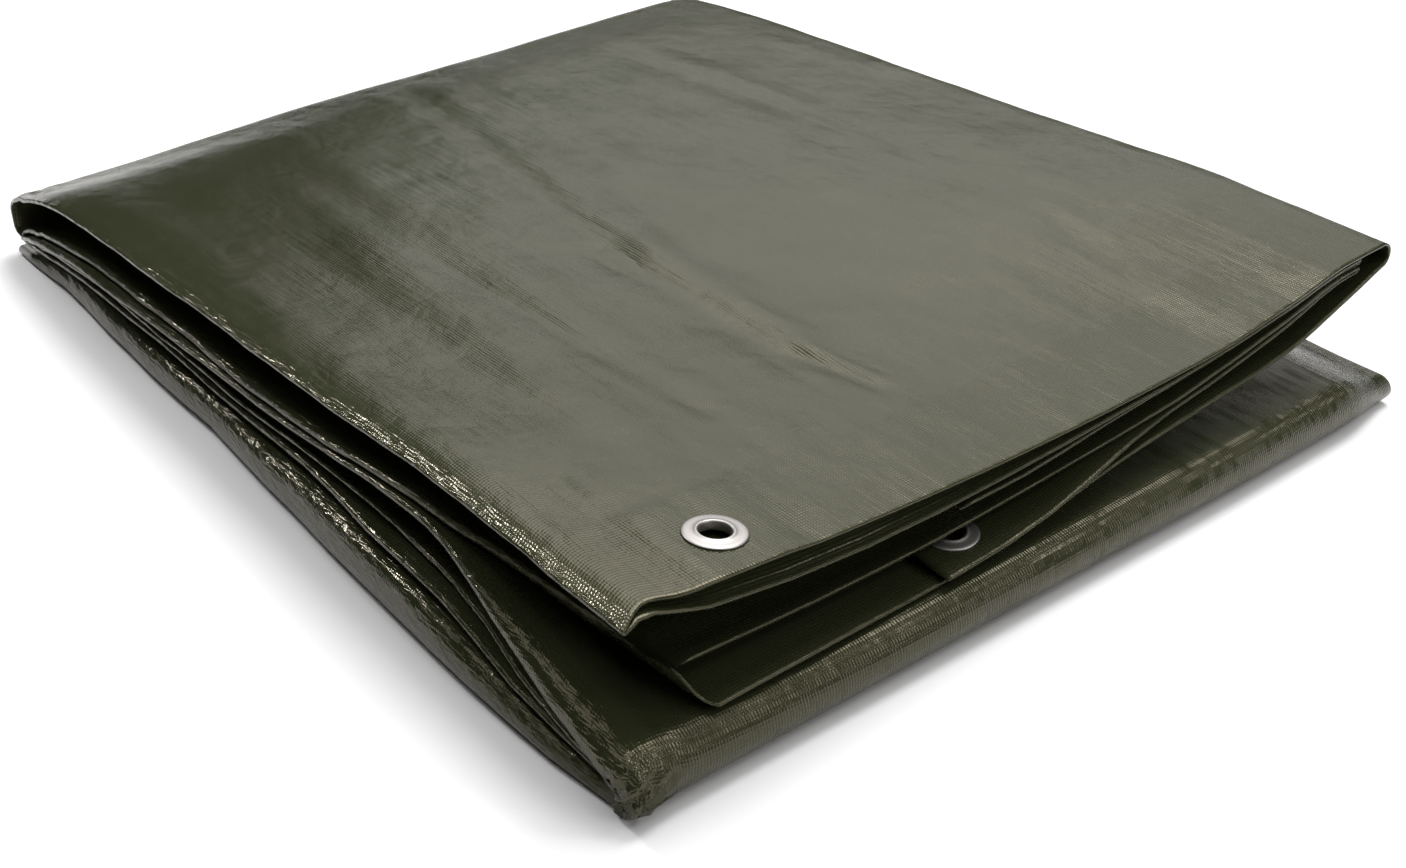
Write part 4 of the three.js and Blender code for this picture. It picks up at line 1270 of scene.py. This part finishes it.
def laminated_cloth():
    """Glossy plastic over the sum of all reliefs, with heights in millimetres."""
    material, tree = new_material("laminated polyethylene cloth")
    cloth = add_node(tree, "ShaderNodeUVMap", uv_map="cloth")
    parts = add_node(tree, "ShaderNodeSeparateXYZ", {0: cloth})
    across, along = parts.outputs["X"], parts.outputs["Y"]
    rolled = closeness(tree, along, ROLL_PLACE, ROLL_REACH)
    high = closeness(tree, across, crease_place("high_left"), HIGH_CRINKLE_REACH)
    low = closeness(tree, across, crease_place("low_left"), LOW_CRINKLE_REACH)
    creased = add_node(tree, "ShaderNodeMath", {0: high, 1: low}, operation="MAXIMUM")
    woven = [(rib_relief(tree, cloth, across, rolled), 1.0), (cross_relief(tree, along), 1.0)]
    coating = [(uneven(tree, cloth, row), row["height"]) for row in COATING_ROWS]
    relief = summed(tree, [*woven, *coating, (crinkle_relief(tree, creased, rolled), 1.0)], 0.0)
    bump = add_node(tree, "ShaderNodeBump", {"Strength": 1.0, "Distance": RELIEF_UNIT, "Height": relief})
    shader = add_node(
        tree,
        "ShaderNodeBsdfPrincipled",
        {
            "Base Color": linear("#2C2F1E"),
            "Roughness": summed(tree, [(creased, -CREASE_POLISH)], CLOTH_ROUGHNESS),
            "IOR": 1.5,
            "Specular Tint": linear("#FDF0CD"),
            "Normal": bump,
        },
    )
    add_node(tree, "ShaderNodeOutputMaterial", {"Surface": shader})
    return material


def stamped_aluminium():
    """Bare metal with a satin finish."""
    material, tree = new_material("stamped aluminium")
    finish = {"Base Color": linear("#A8A4A1"), "Metallic": 1.0, "Roughness": 0.46}
    shader = add_node(tree, "ShaderNodeBsdfPrincipled", finish)
    add_node(tree, "ShaderNodeOutputMaterial", {"Surface": shader})
    return material


tarp.data.materials.append(laminated_cloth())
aluminium = stamped_aluminium()
for piece in eyelet_pieces:
    piece.data.materials.append(aluminium)
print("materials:", [material.name for material in bpy.data.materials if material.users])

# %% [markdown]
# Gloss shows what is round it, so most of the look of this cloth is in the lights. A large soft panel
# behind to the right is the sheen on the top ply. Panels high at the right, overhead, behind and in front
# fill the rest and whiten the floor. Two small bright ones draw the left creases and the rolled front. The
# floor is plain white and just large enough for the picture.

# %% Floor and lights
FLOOR_CORNERS = [(-1.3, -1.3, 0), (1.3, -1.3, 0), (1.3, 0.9, 0), (-1.3, 0.9, 0)]
# Azimuth in degrees from straight behind the pack to the right, elevation, and distances in metres.
PANELS = [
    {"name": "sheen panel", "azimuth": 52, "elevation": 31, "away": 2.6, "size": (2.3, 1.7), "power": 13.5},
    {"name": "key panel", "azimuth": 80, "elevation": 69, "away": 2.4, "size": (1.1, 1.1), "power": 38},
    {"name": "overhead panel", "azimuth": 0, "elevation": 90, "away": 2.4, "size": (3, 3), "power": 40},
    {"name": "back panel", "azimuth": 40, "elevation": 50, "away": 2.6, "size": (1.2, 1.2), "power": 9},
    {"name": "front panel", "azimuth": 166, "elevation": 28, "away": 2.6, "size": (1.2, 0.9), "power": 13},
    {"name": "crease strip", "azimuth": -15, "elevation": 40, "away": 2.2, "size": (0.18, 0.1), "power": 13},
    {"name": "nose strip", "azimuth": 131, "elevation": 40, "away": 2.6, "size": (0.36, 0.36), "power": 7},
]
AMBIENT = 0.02


def add_panel(row):
    """A soft light that faces the pack from its distance along its azimuth and elevation."""
    lamp = bpy.data.lights.new(row["name"], "AREA")
    lamp.shape = "RECTANGLE"
    lamp.size, lamp.size_y = row["size"]
    lamp.energy = row["power"]
    light = bpy.data.objects.new(row["name"], lamp)
    a, e = radians(row["azimuth"]), radians(row["elevation"])
    towards = np.array([np.sin(a) * np.cos(e), np.cos(a) * np.cos(e), np.sin(e)])
    light.location = row["away"] * towards
    light.rotation_euler = (radians(90 - row["elevation"]), 0, radians(180 - row["azimuth"]))
    bpy.context.scene.collection.objects.link(light)


floor_mesh = bpy.data.meshes.new("floor")
floor_mesh.from_pydata(FLOOR_CORNERS, [], [(0, 1, 2, 3)])
floor = bpy.data.objects.new("floor", floor_mesh)
bpy.context.scene.collection.objects.link(floor)
floor_material, tree = new_material("white studio floor")
matt = add_node(tree, "ShaderNodeBsdfDiffuse", {"Color": linear("#FDFCFD")})
add_node(tree, "ShaderNodeOutputMaterial", {"Surface": matt})
floor_mesh.materials.append(floor_material)

for row in PANELS:
    add_panel(row)
world = bpy.data.worlds.new("studio")
bpy.context.scene.world = world
world.use_nodes = True
world.node_tree.nodes["Background"].inputs["Color"].default_value = linear("#FFFFFF")
world.node_tree.nodes["Background"].inputs["Strength"].default_value = AMBIENT
print("lights:", [row["name"] for row in PANELS])

# %% [markdown]
# The camera stands in front of the left corner and looks down by about thirty degrees, as the eyelets tell:
# a round hole shows as an ellipse, and its two widths give the angle. Focus blur stays off, so that the
# whole pack is sharp.

# %% Camera
CAMERA_PLACE = (-0.540, -0.6456, 0.429)
CAMERA_AZIMUTH = -41.0
CAMERA_ELEVATION = 30.7
LENS = 47.34
lens = bpy.data.cameras.new("photo camera")
lens.sensor_width = 36.0
lens.lens = LENS
lens.dof.use_dof = False
camera = bpy.data.objects.new("photo camera", lens)
camera.location = CAMERA_PLACE
camera.rotation_euler = (radians(90 - CAMERA_ELEVATION), 0, radians(CAMERA_AZIMUTH))
bpy.context.scene.collection.objects.link(camera)
bpy.context.scene.camera = camera
bpy.context.scene.view_settings.view_transform = "Standard"
bpy.context.scene.view_settings.look = "None"
print("camera", tuple(round(value, 3) for value in camera.location), "lens", lens.lens)
